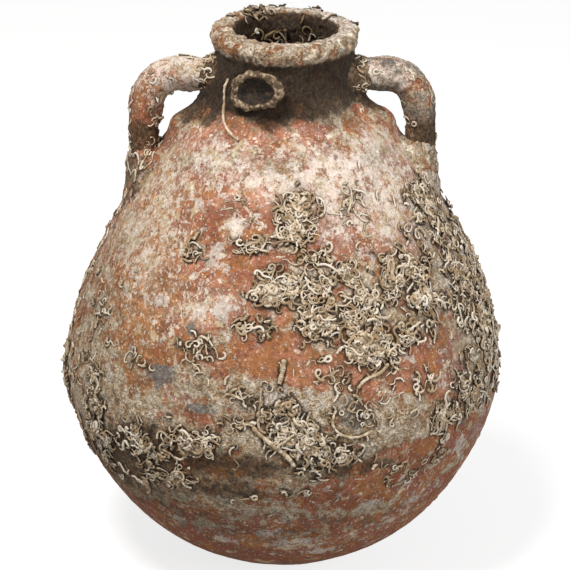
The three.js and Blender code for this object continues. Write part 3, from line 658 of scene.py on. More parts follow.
def handle_skin(reach, turn, part):
    """The bar, or one of its pads, as a skin of rings in the jar's frame."""
    points, run = handle_rings(reach, part)
    normals = -grid_normals(points)
    lumps = rough(points, 9, 3, 31 + int(turn)) + 0.5 * rough(points, 2.6, 2, 33)
    swell = 0.7 if part == "bar" else 1.1
    points = points + normals * (swell * lumps + 0.5 * noise(points, 26, 35))[..., None]
    spin = math.radians(turn)
    cos, sin = math.cos(spin), math.sin(spin)
    matrix = np.array([[cos, -sin, 0], [sin, cos, 0], [0, 0, 1]])
    return Skin(points @ matrix.T, normals @ matrix.T, run)


# Meshes


def make_mesh(name, vertices, face_sets, fields=None, normals=None):
    """An object from vertices in millimetres and arrays of faces, with one number per vertex a field."""
    mesh = bpy.data.meshes.new(name)
    mesh.vertices.add(len(vertices))
    mesh.vertices.foreach_set("co", (vertices * MM).astype(np.float32).ravel())
    corners = np.concatenate([f.ravel() for f in face_sets])
    sizes = np.concatenate([np.full(len(f), f.shape[1]) for f in face_sets])
    mesh.loops.add(len(corners))
    mesh.loops.foreach_set("vertex_index", corners.astype(np.int32))
    mesh.polygons.add(len(sizes))
    starts = np.concatenate([[0], np.cumsum(sizes)[:-1]])
    mesh.polygons.foreach_set("loop_start", starts.astype(np.int32))
    mesh.update(calc_edges=True)
    mesh.polygons.foreach_set("use_smooth", np.ones(len(sizes), bool))
    for field, values in (fields or {}).items():
        attribute = mesh.attributes.new(field, "FLOAT", "POINT")
        attribute.data.foreach_set("value", np.asarray(values, np.float32).ravel())
    mesh.validate()
    if normals is not None:
        mesh.normals_split_custom_set_from_vertices(normals.astype(np.float32))
    obj = bpy.data.objects.new(name, mesh)
    bpy.context.scene.collection.objects.link(obj)
    return obj


def dress(piece, material, *nodes):
    """Gives a finished piece its material and its place in the frame."""
    piece.data.materials.append(material)
    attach(piece, "root")
    if nodes:
        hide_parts(*nodes)


def strip_faces(row_count, column_count, closed_rows=False):
    """Four-cornered faces between neighbouring rows of a grid that closes round its columns."""
    last = row_count if closed_rows else row_count - 1
    r = np.arange(last)[:, None]
    c = np.arange(column_count)[None, :]
    below = (r % row_count) * column_count
    above = ((r + 1) % row_count) * column_count
    c1 = (c + 1) % column_count
    return np.stack([below + c, below + c1, above + c1, above + c], axis=-1).reshape(-1, 4)


def fan_faces(ring_start, column_count, centre, flip):
    """Three-cornered faces from a ring to one centre."""
    c = np.arange(column_count)
    c1 = (c + 1) % column_count
    first, second = (c1, c) if flip else (c, c1)
    return np.stack([ring_start + first, ring_start + second, np.full(column_count, centre)], axis=-1)


def wall_piece(name, sections, extra_rows, node, material):
    """One clay piece: outer rows upwards, inner rows downwards, closed through its joint faces."""
    rows = np.concatenate([np.arange(spans[s][0], spans[s][1] + 1) for s in sections])
    points = jar.points[rows]
    normals = jar_normals[rows]
    fields = {key: values[rows] for key, values in {**WALL_FIELDS, "shade": jar.shade}.items()}
    if extra_rows:
        extra_line = np.array(extra_rows)
        extra = around(extra_line[:, :1], wall_azimuth, extra_line[:, 1:])
        points = np.concatenate([points, extra])
        normals = np.concatenate([normals, np.zeros_like(extra)])
        fields = {k: np.concatenate([v, np.zeros(extra.shape[:2])]) for k, v in fields.items()}
    faces = [strip_faces(len(points), COLUMNS, closed_rows=True)]
    piece = make_mesh(name, points.reshape(-1, 3), faces, fields, normals.reshape(-1, 3))
    dress(piece, material, node)


def ringed_piece(name, skin, fields, material, *nodes):
    """A skin of rings closed by a fan at each end."""
    rows, columns = skin.points.shape[:2]
    ends = [skin.points[0].mean(axis=0), skin.points[-1].mean(axis=0)]
    vertices = np.concatenate([skin.points.reshape(-1, 3), ends])
    count = rows * columns
    faces = [
        strip_faces(rows, columns)[:, ::-1],
        fan_faces(0, columns, count, flip=False),
        fan_faces(count - columns, columns, count + 1, flip=True),
    ]
    shape = (rows, columns)
    fields = {k: np.concatenate([np.broadcast_to(v, shape).ravel(), [0, 0]]) for k, v in fields.items()}
    dress(make_mesh(name, vertices, faces, fields), material, *nodes)


# Materials


def colour(red, green, blue):
    """A screen colour, 0 to 255 each, as Blender's light values."""
    parts = [c / 255 for c in (red, green, blue)]
    return [c / 12.92 if c <= 0.04045 else ((c + 0.055) / 1.055) ** 2.4 for c in parts] + [1]


class Shader:
    """A material's node tree, built by short calls."""

    def __init__(self, name):
        self.material = bpy.data.materials.new(name)
        self.material.use_nodes = True
        self.tree = self.material.node_tree
        self.tree.nodes.clear()
        self.output = self.tree.nodes.new("ShaderNodeOutputMaterial")
        self.place = self.add("ShaderNodeTexCoord").outputs["Object"]

    def add(self, kind, **settings):
        node = self.tree.nodes.new(kind)
        for key, value in settings.items():
            setattr(node, key, value)
        return node

    def feed(self, socket, value):
        if isinstance(value, bpy.types.NodeSocket):
            self.tree.links.new(value, socket)
        else:
            socket.default_value = value

    def maths(self, operation, first, second=0.0):
        node = self.add("ShaderNodeMath", operation=operation)
        self.feed(node.inputs[0], first)
        self.feed(node.inputs[1], second)
        return node.outputs[0]

    def plus(self, first, second):
        return self.maths("ADD", first, second)

    def minus(self, first, second):
        return self.maths("SUBTRACT", first, second)

    def times(self, first, second):
        return self.maths("MULTIPLY", first, second)

    def ramp(self, value, low, high):
        """0 at low, 1 at high, smooth between."""
        node = self.add("ShaderNodeMapRange", interpolation_type="SMOOTHSTEP")
        self.feed(node.inputs["Value"], value)
        self.feed(node.inputs["From Min"], low)
        self.feed(node.inputs["From Max"], high)
        return node.outputs["Result"]

    def mix(self, share, first, second):
        node = self.add("ShaderNodeMix", data_type="RGBA")
        self.feed(node.inputs[0], share)
        self.feed(node.inputs[6], first)
        self.feed(node.inputs[7], second)
        return node.outputs[2]

    def tones(self, share, first, second):
        """Two screen colours, the second by the given share."""
        return self.mix(share, colour(*first), colour(*second))

    def coat(self, base, share, strength, tone):
        """The base under a share of another colour."""
        return self.mix(self.times(share, strength), base, tone)

    def noise(self, width_mm, detail=3.0, roughness=0.55, stretch=(1, 1, 1), seed=0.0):
        mapping = self.add("ShaderNodeMapping")
        self.feed(mapping.inputs["Vector"], self.place)
        mapping.inputs["Scale"].default_value = stretch
        mapping.inputs["Location"].default_value = (seed, -0.7 * seed, 0.3 * seed)
        node = self.add("ShaderNodeTexNoise")
        self.feed(node.inputs["Vector"], mapping.outputs[0])
        node.inputs["Scale"].default_value = 1 / (width_mm * MM)
        node.inputs["Detail"].default_value = detail
        node.inputs["Roughness"].default_value = roughness
        return node.outputs["Fac"]

    def specks(self, width_mm):
        """Distance from the nearest of many scattered points."""
        node = self.add("ShaderNodeTexVoronoi", feature="F1")
        self.feed(node.inputs["Vector"], self.place)
        node.inputs["Scale"].default_value = 1 / (width_mm * MM)
        return node.outputs["Distance"]

    def ridge(self, width_mm, seed):
        """Winding ridges, 1 along their tops."""
        level = self.noise(width_mm, 1, 0.5, seed=seed)
        away = self.maths("ABSOLUTE", self.minus(level, 0.5))
        return self.ramp(away, 0.05, 0.01)

    def field(self, name):
        return self.add("ShaderNodeAttribute", attribute_name=name).outputs["Fac"]

    def stain(self, name, drift, spread, low, high):
        """Where a field of the mesh is strong, with its edge broken up by a drift round 0."""
        return self.ramp(self.plus(self.field(name), self.times(drift, spread)), low, high)

    def finish(self, base, roughness, bump, bump_mm):
        surface_node = self.add("ShaderNodeBsdfPrincipled")
        self.feed(surface_node.inputs["Base Color"], base)
        self.feed(surface_node.inputs["Roughness"], roughness)
        surface_node.inputs["Specular IOR Level"].default_value = 0.3
        bump_node = self.add("ShaderNodeBump")
        bump_node.inputs["Distance"].default_value = bump_mm * MM
        bump_node.inputs["Strength"].default_value = 1.0
        self.feed(bump_node.inputs["Height"], bump)
        self.feed(surface_node.inputs["Normal"], bump_node.outputs[0])
        self.feed(self.output.inputs["Surface"], surface_node.outputs[0])
        return self.material


PALE_TONE = 140
# Width, seed, lowest level, tone and strength
BLOTCHES = [
    (26, 11.3, 0.52, (146, 80, 54), 0.65),
    (19, 12.9, 0.53, (172, 114, 62), 0.65),
    (14, 14.1, 0.55, (120, 80, 52), 0.65),
    (13, 15.7, 0.61, (206, 190, 154), 0.7),
    (9, 17.3, 0.63, (228, 214, 200), 0.8),
    (6, 18.8, 0.59, (100, 66, 46), 0.6),
    (5, 19.6, 0.64, (234, 224, 208), 0.8),
]


class ClayNoise:
    """The noises and fields that several coats of the clay share."""

    def __init__(self, s):
        self.cloud = s.noise(45, 3, 0.6)
        self.blotch = s.noise(16, 6, 0.68, seed=3.1)
        self.flake = s.noise(9, 8, 0.74, stretch=(1.1, 1.1, 0.9), seed=5.7)
        self.fleck = s.noise(2.6, 6, 0.75, stretch=(1.2, 1.2, 0.8), seed=8.3)
        self.pits = s.ramp(s.specks(2.6), 0.26, 0.12)
        self.grain = s.noise(1.3, 3, 0.6, seed=2.2)
        self.drift = s.minus(self.blotch, 0.5)
        self.flutter = s.minus(self.flake, 0.5)
        self.dust = s.ramp(self.fleck, 0.38, 0.62)
        self.scale = s.ramp(self.flake, 0.4, 0.6)
        self.haze = s.field("haze")
        self.crust = s.field("crust")


def bare_clay(s, n):
    """Clay with its ochre, red and mauve stains, and how ochre each place is."""
    base = s.tones(s.ramp(n.cloud, 0.4, 0.6), (192, 132, 102), (168, 108, 80))
    base = s.coat(base, s.ramp(n.flake, 0.44, 0.62), 0.6, colour(140, 94, 68))
    ochre = s.stain("ochre", n.drift, 2, 0.3, 0.6)
    base = s.coat(base, ochre, 0.85, s.tones(n.scale, (196, 136, 82), (130, 90, 52)))
    red = s.stain("red", n.drift, 2, 0.35, 0.7)
    base = s.coat(base, red, 0.9, s.tones(n.dust, (156, 84, 56), (94, 50, 33)))
    mauve = s.stain("mauve", n.drift, 2, 0.3, 0.8)
    base = s.coat(base, mauve, 0.75, s.tones(n.dust, (184, 154, 144), (134, 98, 90)))
    return base, ochre


def haze_on(s, n, base, ochre):
    """The base under a pale veil, blotches, haze, mottling and pits, and how hazy each place is."""
    veil = s.stain("haze", n.drift, 2.2, 0.15, 1.0)
    haze = s.ramp(s.plus(s.times(n.haze, 0.17), n.flake), 0.55, 0.69)
    haze_tone = s.tones(s.ramp(n.cloud, 0.42, 0.58), (224, 192, 174), (234, 218, 206))
    haze_tone = s.coat(haze_tone, ochre, 0.75, colour(204, 172, 132))
    base = s.coat(base, veil, 0.4, s.mix(0.4, haze_tone, colour(206, 156, 132)))
    for width, seed, low, tone, strength in BLOTCHES:
        cover = s.noise(width, 6, 0.62, seed=seed)
        if min(tone) > PALE_TONE:
            cover = s.plus(cover, s.times(n.haze, 0.1))
        base = s.coat(base, s.ramp(cover, low, low + 0.03), strength, colour(*tone))
    base = s.coat(base, haze, 0.3, haze_tone)
    mottle = s.ramp(s.plus(s.times(n.blotch, 0.5), s.times(n.fleck, 0.5)), 0.53, 0.43)
    base = s.coat(base, mottle, 0.3, colour(122, 82, 58))
    cream = s.ramp(s.plus(s.times(n.haze, 0.07), n.fleck), 0.58, 0.63)
    base = s.coat(base, cream, 0.65, colour(230, 214, 196))
    pitted = s.times(n.pits, s.ramp(n.blotch, 0.45, 0.6))
    return s.coat(base, pitted, 0.75, colour(84, 56, 40)), haze


def crust_on(s, n, base):
    """The base under crust, rust, chalk, lime flakes and worm ridges, and where crust and ridges lie."""
    cake = s.stain("crust", n.drift, 2.4, 0.42, 0.62)
    base = s.coat(base, cake, 0.85, s.tones(n.scale, (156, 130, 96), (232, 218, 194)))
    crusted = s.ramp(n.crust, 0.3, 0.6)
    rust = s.ramp(s.noise(12, 6, 0.7, seed=31.7), 0.54, 0.58)
    base = s.coat(base, s.times(rust, crusted), 0.75, colour(152, 88, 46))
    knobs = s.ramp(s.noise(5, 5, 0.7, seed=33.1), 0.58, 0.63)
    base = s.coat(base, s.times(knobs, crusted), 0.5, colour(70, 50, 32))
    chalk = s.ramp(s.plus(s.times(n.haze, 0.3), n.flake), 0.75, 0.84)
    base = s.coat(base, chalk, 0.55, colour(230, 216, 204))
    broken = s.plus(s.times(n.drift, 2.4), s.times(n.flutter, 3.6))
    flakes = s.ramp(s.plus(s.times(s.field("flakes"), 0.8), broken), 0.42, 0.54)
    base = s.coat(base, flakes, 0.75, s.tones(n.dust, (196, 180, 164), (226, 216, 206)))
    grey = s.stain("grey", n.drift, 1.5, 0.4, 0.6)
    base = s.coat(base, grey, 0.9, s.tones(n.dust, (98, 94, 92), (142, 134, 124)))
    worms = s.maths("MAXIMUM", s.ridge(9, 1.7), s.ridge(6, 6.3))
    worms = s.times(worms, s.stain("ropes", n.drift, 3, 0.5, 0.75))
    base = s.coat(base, worms, 0.55, s.tones(n.dust, (180, 156, 122), (234, 220, 196)))
    return base, cake, worms


def grime_on(s, n, base):
    """The base under grime and painted shade, the shade round growth, grit and the painted shade of the deep
    field, and where the grit lies.
    """
    uneven = s.plus(n.flake, s.times(n.drift, 0.5))
    grime_and_shade = s.ramp(s.plus(s.times(s.field("grime_and_shade"), 0.6), uneven), 0.74, 0.97)
    base = s.coat(base, grime_and_shade, 0.92, s.tones(n.dust, (36, 23, 13), (110, 83, 56)))
    shade = s.stain("shade", n.flutter, 1.4, 0.1, 0.7)
    base = s.coat(base, shade, 0.9, s.tones(n.dust, (34, 22, 13), (98, 76, 52)))
    grit = s.times(s.ramp(s.noise(1.8, 4, 0.7, seed=21.3), 0.5, 0.4), n.crust)
    base = s.coat(base, grit, 0.35, colour(74, 56, 38))
    # Painted shade: the deep field darkens the mouth, the neck under the rim and the inside near black
    return s.coat(base, s.field("deep"), 0.7, colour(20, 13, 8)), grit


def clay_material():
    """Bare clay under haze, crust, grime and painted shade, which also raise and pit its surface."""
    s = Shader("weathered_clay")
    n = ClayNoise(s)
    base, ochre = bare_clay(s, n)
    base, haze = haze_on(s, n, base, ochre)
    base, cake, worms = crust_on(s, n, base)
    base, grit = grime_on(s, n, base)
    bump = s.plus(s.times(n.fleck, 0.6), s.plus(s.times(n.grain, 0.3), s.times(worms, 0.7)))
    bump = s.plus(bump, s.times(s.plus(cake, haze), 0.3))
    bump = s.minus(bump, s.plus(s.times(n.pits, 0.5), s.times(grit, 0.8)))
    return s.finish(base, 0.9, bump, 1.0)


def tube_material(name, pale, dark, painted_underside_shade_tone):
    """Limy tubes in two tones, some whiter and some browner, with painted shade on their lower sides and
    painted dark shade in their mouths.
    """
    s = Shader(name)
    grain = s.noise(0.9, 3, 0.6)
    patch = s.noise(7, 3, 0.6, seed=4.4)
    tint = s.field("tint")
    base = s.tones(s.ramp(patch, 0.4, 0.6), pale, dark)
    base = s.coat(base, s.ramp(tint, 0.5, 1.0), 0.6, colour(242, 234, 220))
    base = s.coat(base, s.ramp(tint, 0.4, 0.1), 0.8, colour(132, 107, 78))
    base = s.coat(base, s.ramp(grain, 0.48, 0.7), 0.4, colour(160, 134, 102))
    # Painted shade: the lower side of each tube, and tubes low in a pile, darkened to the shade tone
    painted_underside_shade = s.stain("upper", s.minus(patch, 0.5), 1.1, 0.85, 0.35)
    base = s.coat(base, painted_underside_shade, 0.95, colour(*painted_underside_shade_tone))
    # Painted shade: the hollow inside each tube's mouth nearly black
    base = s.mix(s.field("hollow"), base, colour(20, 13, 8))
    return s.finish(base, 0.85, grain, 0.35)


def shell_material():
    """Spotted brown lime outside and nearly black in the hollow."""
    s = Shader("oyster_shell_lime")
    grain = s.noise(1.2, 4, 0.65)
    spot = s.noise(4, 3, 0.6, seed=6.1)
    outside = s.tones(s.ramp(spot, 0.44, 0.64), (78, 60, 42), (176, 154, 126))
    outside = s.coat(outside, s.ramp(grain, 0.5, 0.65), 0.7, colour(66, 48, 34))
    inside = s.tones(s.ramp(spot, 0.4, 0.65), (26, 18, 12), (66, 50, 36))
    base = s.mix(s.ramp(s.field("hollow"), 0.3, 0.8), outside, inside)
    return s.finish(base, 0.7, grain, 0.8)


clay = clay_material()
lime = tube_material("lime_tubes", (216, 199, 174), (168, 144, 113), (42, 28, 16))
# A darker copy of the lime tubes, as painted shade for the tubes inside the mouth
mouth_lime_painted_shade = tube_material("mouth_tubes_painted_shade", (132, 112, 82), (80, 63, 43), (22, 15, 9))
shell_lime = shell_material()


# Worm tubes

TUBE_POINTS = 18
TUBE_SIDES = 6
TUBE_LIP = 0.62
TUBE_HOLLOW_DEPTH = 1.8
TUBE_HOLLOW_WIDTH = 0.5
SINGLE_TUBE_POINTS = 60
SINGLE_TUBE_SIDES = 10
GROWTH_SEED = 7


def tube_fields(tubes, angle, ring_count):
    """How far up on its tube and its pile each vertex is (for the painted shade below), how deep in a hollow
    (for the painted dark of the mouth) and how pale each vertex of many tubes is.
    """
    count, sides = len(tubes["tint"]), len(angle)
    # Painted shade: low where a vertex faces down or its tube lies low in the pile
    upper = 0.5 + 0.5 * np.sin(angle) + 0.7 * tubes["layer"][:, None, None] - 0.34
    upper = np.broadcast_to(np.clip(upper, 0, 1), (count, ring_count, sides)).reshape(count, -1)
    upper = np.concatenate([upper, np.full((count, 2), 0.5)], axis=1)
    # The hollow of each mouth, which the material paints nearly black as painted shade
    hollow = np.zeros(upper.shape)
    hollow[:, -sides - 2 : -2] = 1
    hollow[:, -1] = 1
    tints = np.repeat(tubes["tint"][:, None], upper.shape[1], axis=1)
    return {"upper": upper, "hollow": hollow, "tint": tints}


def sweep_tubes(tubes, sides):
    """Vertices, faces and fields of many tubes at once, each open at its last point."""
    points, out, radii = tubes["points"], tubes["out"], tubes["radii"]
    count, steps = points.shape[:2]
    along = unit(np.gradient(points, axis=1))
    side = unit(np.cross(along, out))
    up = np.cross(side, along)
    angle = np.arange(sides) * TURN / sides
    spoke = side[:, :, None] * np.cos(angle)[:, None] + up[:, :, None] * np.sin(angle)[:, None]
    rings = points[:, :, None] + spoke * radii[..., None, None]
    mouth_radius = radii[:, -1, None, None]
    lip = points[:, -1, None] + spoke[:, -1] * mouth_radius * TUBE_LIP
    bottom = points[:, -1, None] - along[:, -1, None] * mouth_radius * TUBE_HOLLOW_DEPTH
    deep = bottom + spoke[:, -1] * mouth_radius * TUBE_HOLLOW_WIDTH
    tail = points[:, :1] - along[:, :1] * radii[:, 0, None, None]
    block = np.concatenate([rings.reshape(count, -1, 3), lip, deep, tail, bottom], axis=1)
    per_tube = block.shape[1]
    strips = strip_faces(steps + 2, sides)[:, ::-1]
    ends = np.concatenate(
        [
            fan_faces(0, sides, per_tube - 2, flip=False),
            fan_faces((steps + 1) * sides, sides, per_tube - 1, flip=True),
        ]
    )
    offsets = (np.arange(count) * per_tube)[:, None, None]
    faces = [(strips[None] + offsets).reshape(-1, 4), (ends[None] + offsets).reshape(-1, 3)]
    return block.reshape(-1, 3), faces, tube_fields(tubes, angle, steps + 2)


# Radius and length in millimetres; curl and sway bend a tube on its way, and rise lifts its end
KINDS = {
    "mat": {"radius": 0.68, "length": (4, 11), "curl": (0.1, 0.55), "sway": 0.16, "rise": 0.9},
    "knot": {"radius": 0.82, "length": (8, 18), "curl": (0.2, 0.5), "sway": 0.18, "rise": 0.6},
    "long": {"radius": 0.85, "length": (12, 24), "curl": (0.0, 0.08), "sway": 0.16, "rise": 0.4},
    "fine": {"radius": 0.42, "length": (3, 9), "curl": (0.0, 0.4), "sway": 0.15, "rise": 0.0},
    "mouth": {"radius": 0.95, "length": (2, 5), "curl": (0.0, 0.2), "sway": 0.05, "rise": 1.8},
}


def walk(skin, turn, run, heading, length, curl, sway, rng):
    """Paths of many tubes over a skin, as turns and runs at each point."""
    turns, runs = [], []
    step = length / (TUBE_POINTS - 1)
    bend = np.zeros(len(turn))
    for _ in range(TUBE_POINTS):
        turns.append(turn)
        runs.append(run)
        girth = np.maximum(np.interp(run, skin.run, skin.girth), 6)
        turn = turn + step * np.cos(heading) / girth
        run = run + step * np.sin(heading)
        bend = 0.75 * bend + sway * rng.normal(size=len(turn))
        heading = heading + (curl + bend) * step
    return np.stack(turns, axis=1), np.stack(runs, axis=1)


def grow(skin, kind, turn, run, pile, rng):
    """Tubes of one kind started at the given places of a skin, up to the pile's height off it."""
    rule = KINDS[kind]
    count = len(turn)
    pile = np.zeros(count) + pile
    radius = rule["radius"] * np.exp(0.24 * rng.normal(size=count))
    length = rng.uniform(*rule["length"], count)
    curl = rng.choice([-1, 1], count) * rng.uniform(*rule["curl"], count)
    heading = rng.uniform(0, TURN, count)
    turns, runs = walk(skin, turn, run, heading, length, curl, rule["sway"], rng)
    share = np.linspace(0, 1, TUBE_POINTS)[None, :]
    thick = radius[:, None]
    along = share * length[:, None]
    ridges = 1 + 0.08 * np.sin(along * 3 + rng.uniform(0, TURN, count)[:, None])
    radii = thick * (0.5 + 0.5 * smoothstep(0, 0.4, share)) * ridges
    layer = rng.random(count)
    rise = rng.random(count)[:, None] ** 1.5 * rule["rise"] * thick * smoothstep(0.5, 1, share)
    wave = 0.5 * thick * np.sin(along * 0.5 + rng.uniform(0, TURN, count)[:, None])
    lift = 0.35 * radii + (layer * pile)[:, None] + rise + np.where(pile[:, None] > 1, wave, 0)
    points, out = skin.place(turns, runs, lift)
    skin.darken(turns, runs, thick * np.ones(TUBE_POINTS))
    return {
        "points": points,
        "out": out,
        "radii": radii,
        "tint": rng.random(count),
        # How high a tube lies in its pile, which the tube material turns into painted shade; lone tubes on
        # bare clay get less
        "layer": np.clip(np.where(pile > 1, layer * pile / 2.2, 0.4 + 0.4 * layer), 0, 1),
        "turn": turns[:, 0],
        "run": runs[:, 0],
    }


def scatter_in_spots(spots, per_area, rng):
    """Random places inside patches, thickest in their middles, with each place's strength."""
    azimuths, runs, strengths = [], [], []
    for az, height, half_across, half_up, strength in spots:
        there = run_at_height(height)
        radius = np.interp(there, outline_run, outline[:, 0])
        count = int(round(per_area * strength * half_across * half_up))
        azimuths.append(math.radians(az) + rng.normal(size=count) * 0.5 * half_across / radius)
        runs.append(there + rng.normal(size=count) * 0.5 * half_up)
        strengths.append(np.full(count, strength))
    return np.concatenate(azimuths), np.concatenate(runs), np.concatenate(strengths)


def clumped(azimuth, run, strength):
    """Only the places in clumps, with their strength rising towards each clump's middle."""
    places, _ = jar.place(azimuth, run, np.zeros(len(run)))
    clump = noise(places, 15, 51) + 0.6 * noise(places, 7, 52) + 0.25 * (strength - 0.7)
    kept = clump > 0.04
    rising = smoothstep(-0.1, 0.5, clump) * strength
    return azimuth[kept], run[kept], rising[kept]


def joined(groups):
    """Several groups of tubes as one."""
    return {key: np.concatenate([g[key] for g in groups]) for key in groups[0]}


def chosen(tubes, mask):
    """Some tubes of a group."""
    return {key: values[mask] for key, values in tubes.items()}


# Spots, height of the pile in them, and tubes of each kind by the size of a spot
WALL_GROWTH = [
    (LUSH_GROWTH, 2.6, {"mat": 0.56, "knot": 0.24, "long": 0.03, "mouth": 0.06}),
    (THIN_GROWTH, 0.3, {"fine": 0.06, "mat": 0.1, "knot": 0.03}),
    (BACK_GROWTH, 2.2, {"mat": 0.45, "knot": 0.12, "long": 0.03, "mouth": 0.04}),
]
LONE_TUBES = 160
LONE_LOW = 40
LONE_HIGH = 330


def jar_growth(rng):
    """All tubes on the jar's own wall."""
    groups = []
    for spots, pile, kinds in WALL_GROWTH:
        for kind, per_area in kinds.items():
            az, run, strength = clumped(*scatter_in_spots(spots, per_area, rng))
            groups.append(grow(jar, kind, az, run, pile * strength, rng))
    az = rng.uniform(-math.pi, math.pi, LONE_TUBES)
    run = rng.uniform(run_at_height(LONE_LOW), run_at_height(LONE_HIGH), LONE_TUBES)
    groups.append(grow(jar, "fine", az, run, 0, rng))
    return joined(groups)


# Tufts on the rim: azimuth in degrees, spread and count. Tubes down the throat: kind and count
MOUTH_TUFTS = [(-152, 9, 34), (170, 10, 7), (118, 10, 3)]
THROAT_TUBES = {"knot": 30, "long": 18, "mouth": 12}
THROAT_TUBES_AZIMUTH = math.radians(175)


def rim_growth(rng):
    """Tubes standing on the rim, thickest at the left back, and tubes inside the mouth."""
    groups = []
    for az, spread, count in MOUTH_TUFTS:
        turn = math.radians(az) + rng.normal(size=count) * spread / RIM_RADIUS
        run = RIM_CROWN_RUN + rng.uniform(-16, 12, count)
        groups.append(grow(jar, "mat", turn, run, 2.2, rng))
        groups.append(grow(jar, "mouth", turn[::2], run[::2], 1.5, rng))
    throat_run = outline_run[spans["throat"][0]]
    for kind, count in THROAT_TUBES.items():
        turn = THROAT_TUBES_AZIMUTH + rng.normal(size=count) * 0.5
        run = throat_run + rng.uniform(-8, 26, count)
        groups.append(grow(jar, kind, turn, run, 2.5, rng))
    return joined(groups)


# Radius, then azimuths in degrees and heights along each tube
SINGLE_TUBES = {
    "tube_down_neck": (1.0, [(-50, 371), (-51, 362), (-49, 351), (-44, 344), (-36, 339), (-27, 336)]),
    "tube_upright_front": (1.6, [(0.4, 208), (0.2, 202), (-0.8, 193)]),
    "tube_hooked_right": (1.2, [(29.4, 199), (27, 194), (22, 193), (20, 187)]),
    "tube_long_low": (1.7, [(-7, 163), (-2, 151), (2, 143), (3, 136)]),
    "tube_wavy_low": (1.0, [(13.6, 174), (12, 165), (15, 156), (19, 153), (23, 157)]),
}


def single_tube(radius, line, seed):
    """One long tube through azimuths and heights on the wall."""
    smooth = np.array([(math.radians(az), run_at_height(height)) for az, height in line])
    for _ in range(3):
        mids = (smooth[:-1] + smooth[1:]) / 2
        woven = np.empty((len(smooth) + len(mids), 2))
        woven[0::2], woven[1::2] = smooth, mids
        woven[1:-1] = (woven[:-2] + 2 * woven[1:-1] + woven[2:]) / 4
        smooth = woven
    at = np.linspace(0, len(smooth) - 1, SINGLE_TUBE_POINTS)
    turn = np.interp(at, np.arange(len(smooth)), smooth[:, 0])[None]
    run = np.interp(at, np.arange(len(smooth)), smooth[:, 1])[None]
    share = np.linspace(0, 1, SINGLE_TUBE_POINTS)[None]
    radii = radius * (1 + 0.1 * np.sin(share * 70) + 0.12 * np.sin(share * 17 + seed))
    points, out = jar.place(turn, run, 0.75 * radii)
    jar.darken(turn, run, radius * np.ones_like(turn))
    tint = np.array([0.45])
    layer = np.array([0.6])
    return {"points": points, "out": out, "radii": radii, "tint": tint, "layer": layer}


def tube_piece(name, tubes, material, *nodes):
    """A piece of one single tube, or of many small ones."""
    sides = SINGLE_TUBE_SIDES if len(tubes["tint"]) == 1 else TUBE_SIDES
    vertices, faces, fields = sweep_tubes(tubes, sides)
    dress(make_mesh(name, vertices, faces, fields), material, *nodes)


rng = np.random.default_rng(GROWTH_SEED)
handles = {"left": (LEFT_REACH, LEFT_HANDLE_TURN), "right": (RIGHT_REACH, 0)}
handle_skins = {
    (side, part): handle_skin(reach, turn, part)
    for side, (reach, turn) in handles.items()
    for part in ("bar", "neck_pad", "foot_pad")
}
wall_tubes = jar_growth(rng)
mouth_tubes = rim_growth(rng)
singles = {
    name: single_tube(radius, line, number)
    for number, (name, (radius, line)) in enumerate(SINGLE_TUBES.items())
}

HANDLE_TUBES = {"left": 60, "right": 22}
HANDLE_TUBE_SHARES = {"neck_pad": 0.9, "foot_pad": 0.6, "bar": 1.0}


def handle_growth(side, count, rng):
    """Tubes on a handle's roots and along its arm."""
    groups = []
    for part, share in HANDLE_TUBE_SHARES.items():
        skin = handle_skins[side, part]
        number = int(count * share)
        turn = rng.uniform(-math.pi, math.pi, number)
        run = rng.uniform(skin.run[0] + 8, skin.run[-1] - 8, number)
        groups.append(grow(skin, "mat", turn, run, 0.2, rng))
        groups.append(grow(skin, "fine", turn[::2], run[::2], 0.1, rng))
    return joined(groups)


handle_tubes = {side: handle_growth(side, count, rng) for side, count in HANDLE_TUBES.items()}

jar.settle_shade(3, 0.75)
outer_normals = grid_normals(jar.points[:OUTER_ROWS])
inner_normals = grid_normals(jar.points[OUTER_ROWS - 1 :])
jar_normals = np.concatenate([outer_normals, inner_normals[1:]])

# Pieces of the jar

stem_rows = [(STEM_RADIUS, FOOT_HEIGHT), (STEM_RADIUS, FLOOR_TOP), (1, FLOOR_TOP)]
hole_rows = [(STEM_RADIUS + STEM_CLEARANCE, FOOT_HEIGHT)]
wall_piece("foot", ["foot"], stem_rows, "foot_button", clay)
wall_piece("bowl", ["lower", "lower_inside"], hole_rows, "lower_body", clay)
wall_piece("dome", ["upper", "upper_inside"], [], "upper_body", clay)
wall_piece("neck_wall", ["neck", "throat"], [], "neck", clay)
wall_piece("rim_ring", ["rim"], [], "rim", clay)


def wall_looks_under(skin):
    """The tints of the jar's wall at the places of a pad that lies on it."""
    x, y, z = np.moveaxis(skin.points, -1, 0)
    run = run_at_height(np.minimum(z, shoulder_height_at(np.hypot(x, y))))
    r, c = jar.nearest(np.arctan2(x, -y), run)
    return {key: values[r, c] for key, values in WALL_FIELDS.items()}


HANDLE_LOOKS = {
    "left": {"haze": 0.9, "ochre": 0.4, "red": 0.1, "mauve": 0.0, "grey": 0.0, "crust": 0.15, "ropes": 0.0},
    "right": {"haze": 0.9, "ochre": 0.0, "red": 0.0, "mauve": 0.6, "grey": 0.5, "crust": 0.62, "ropes": 0.0},
}
PAD_GRIME = {
    ("left", "neck_pad"): 0.7,
    ("right", "neck_pad"): 0.7,
    ("left", "foot_pad"): 0.6,
    ("right", "foot_pad"): 0.2,
}
PAD_CRUST = {"left": 0.4, "right": 0.8}


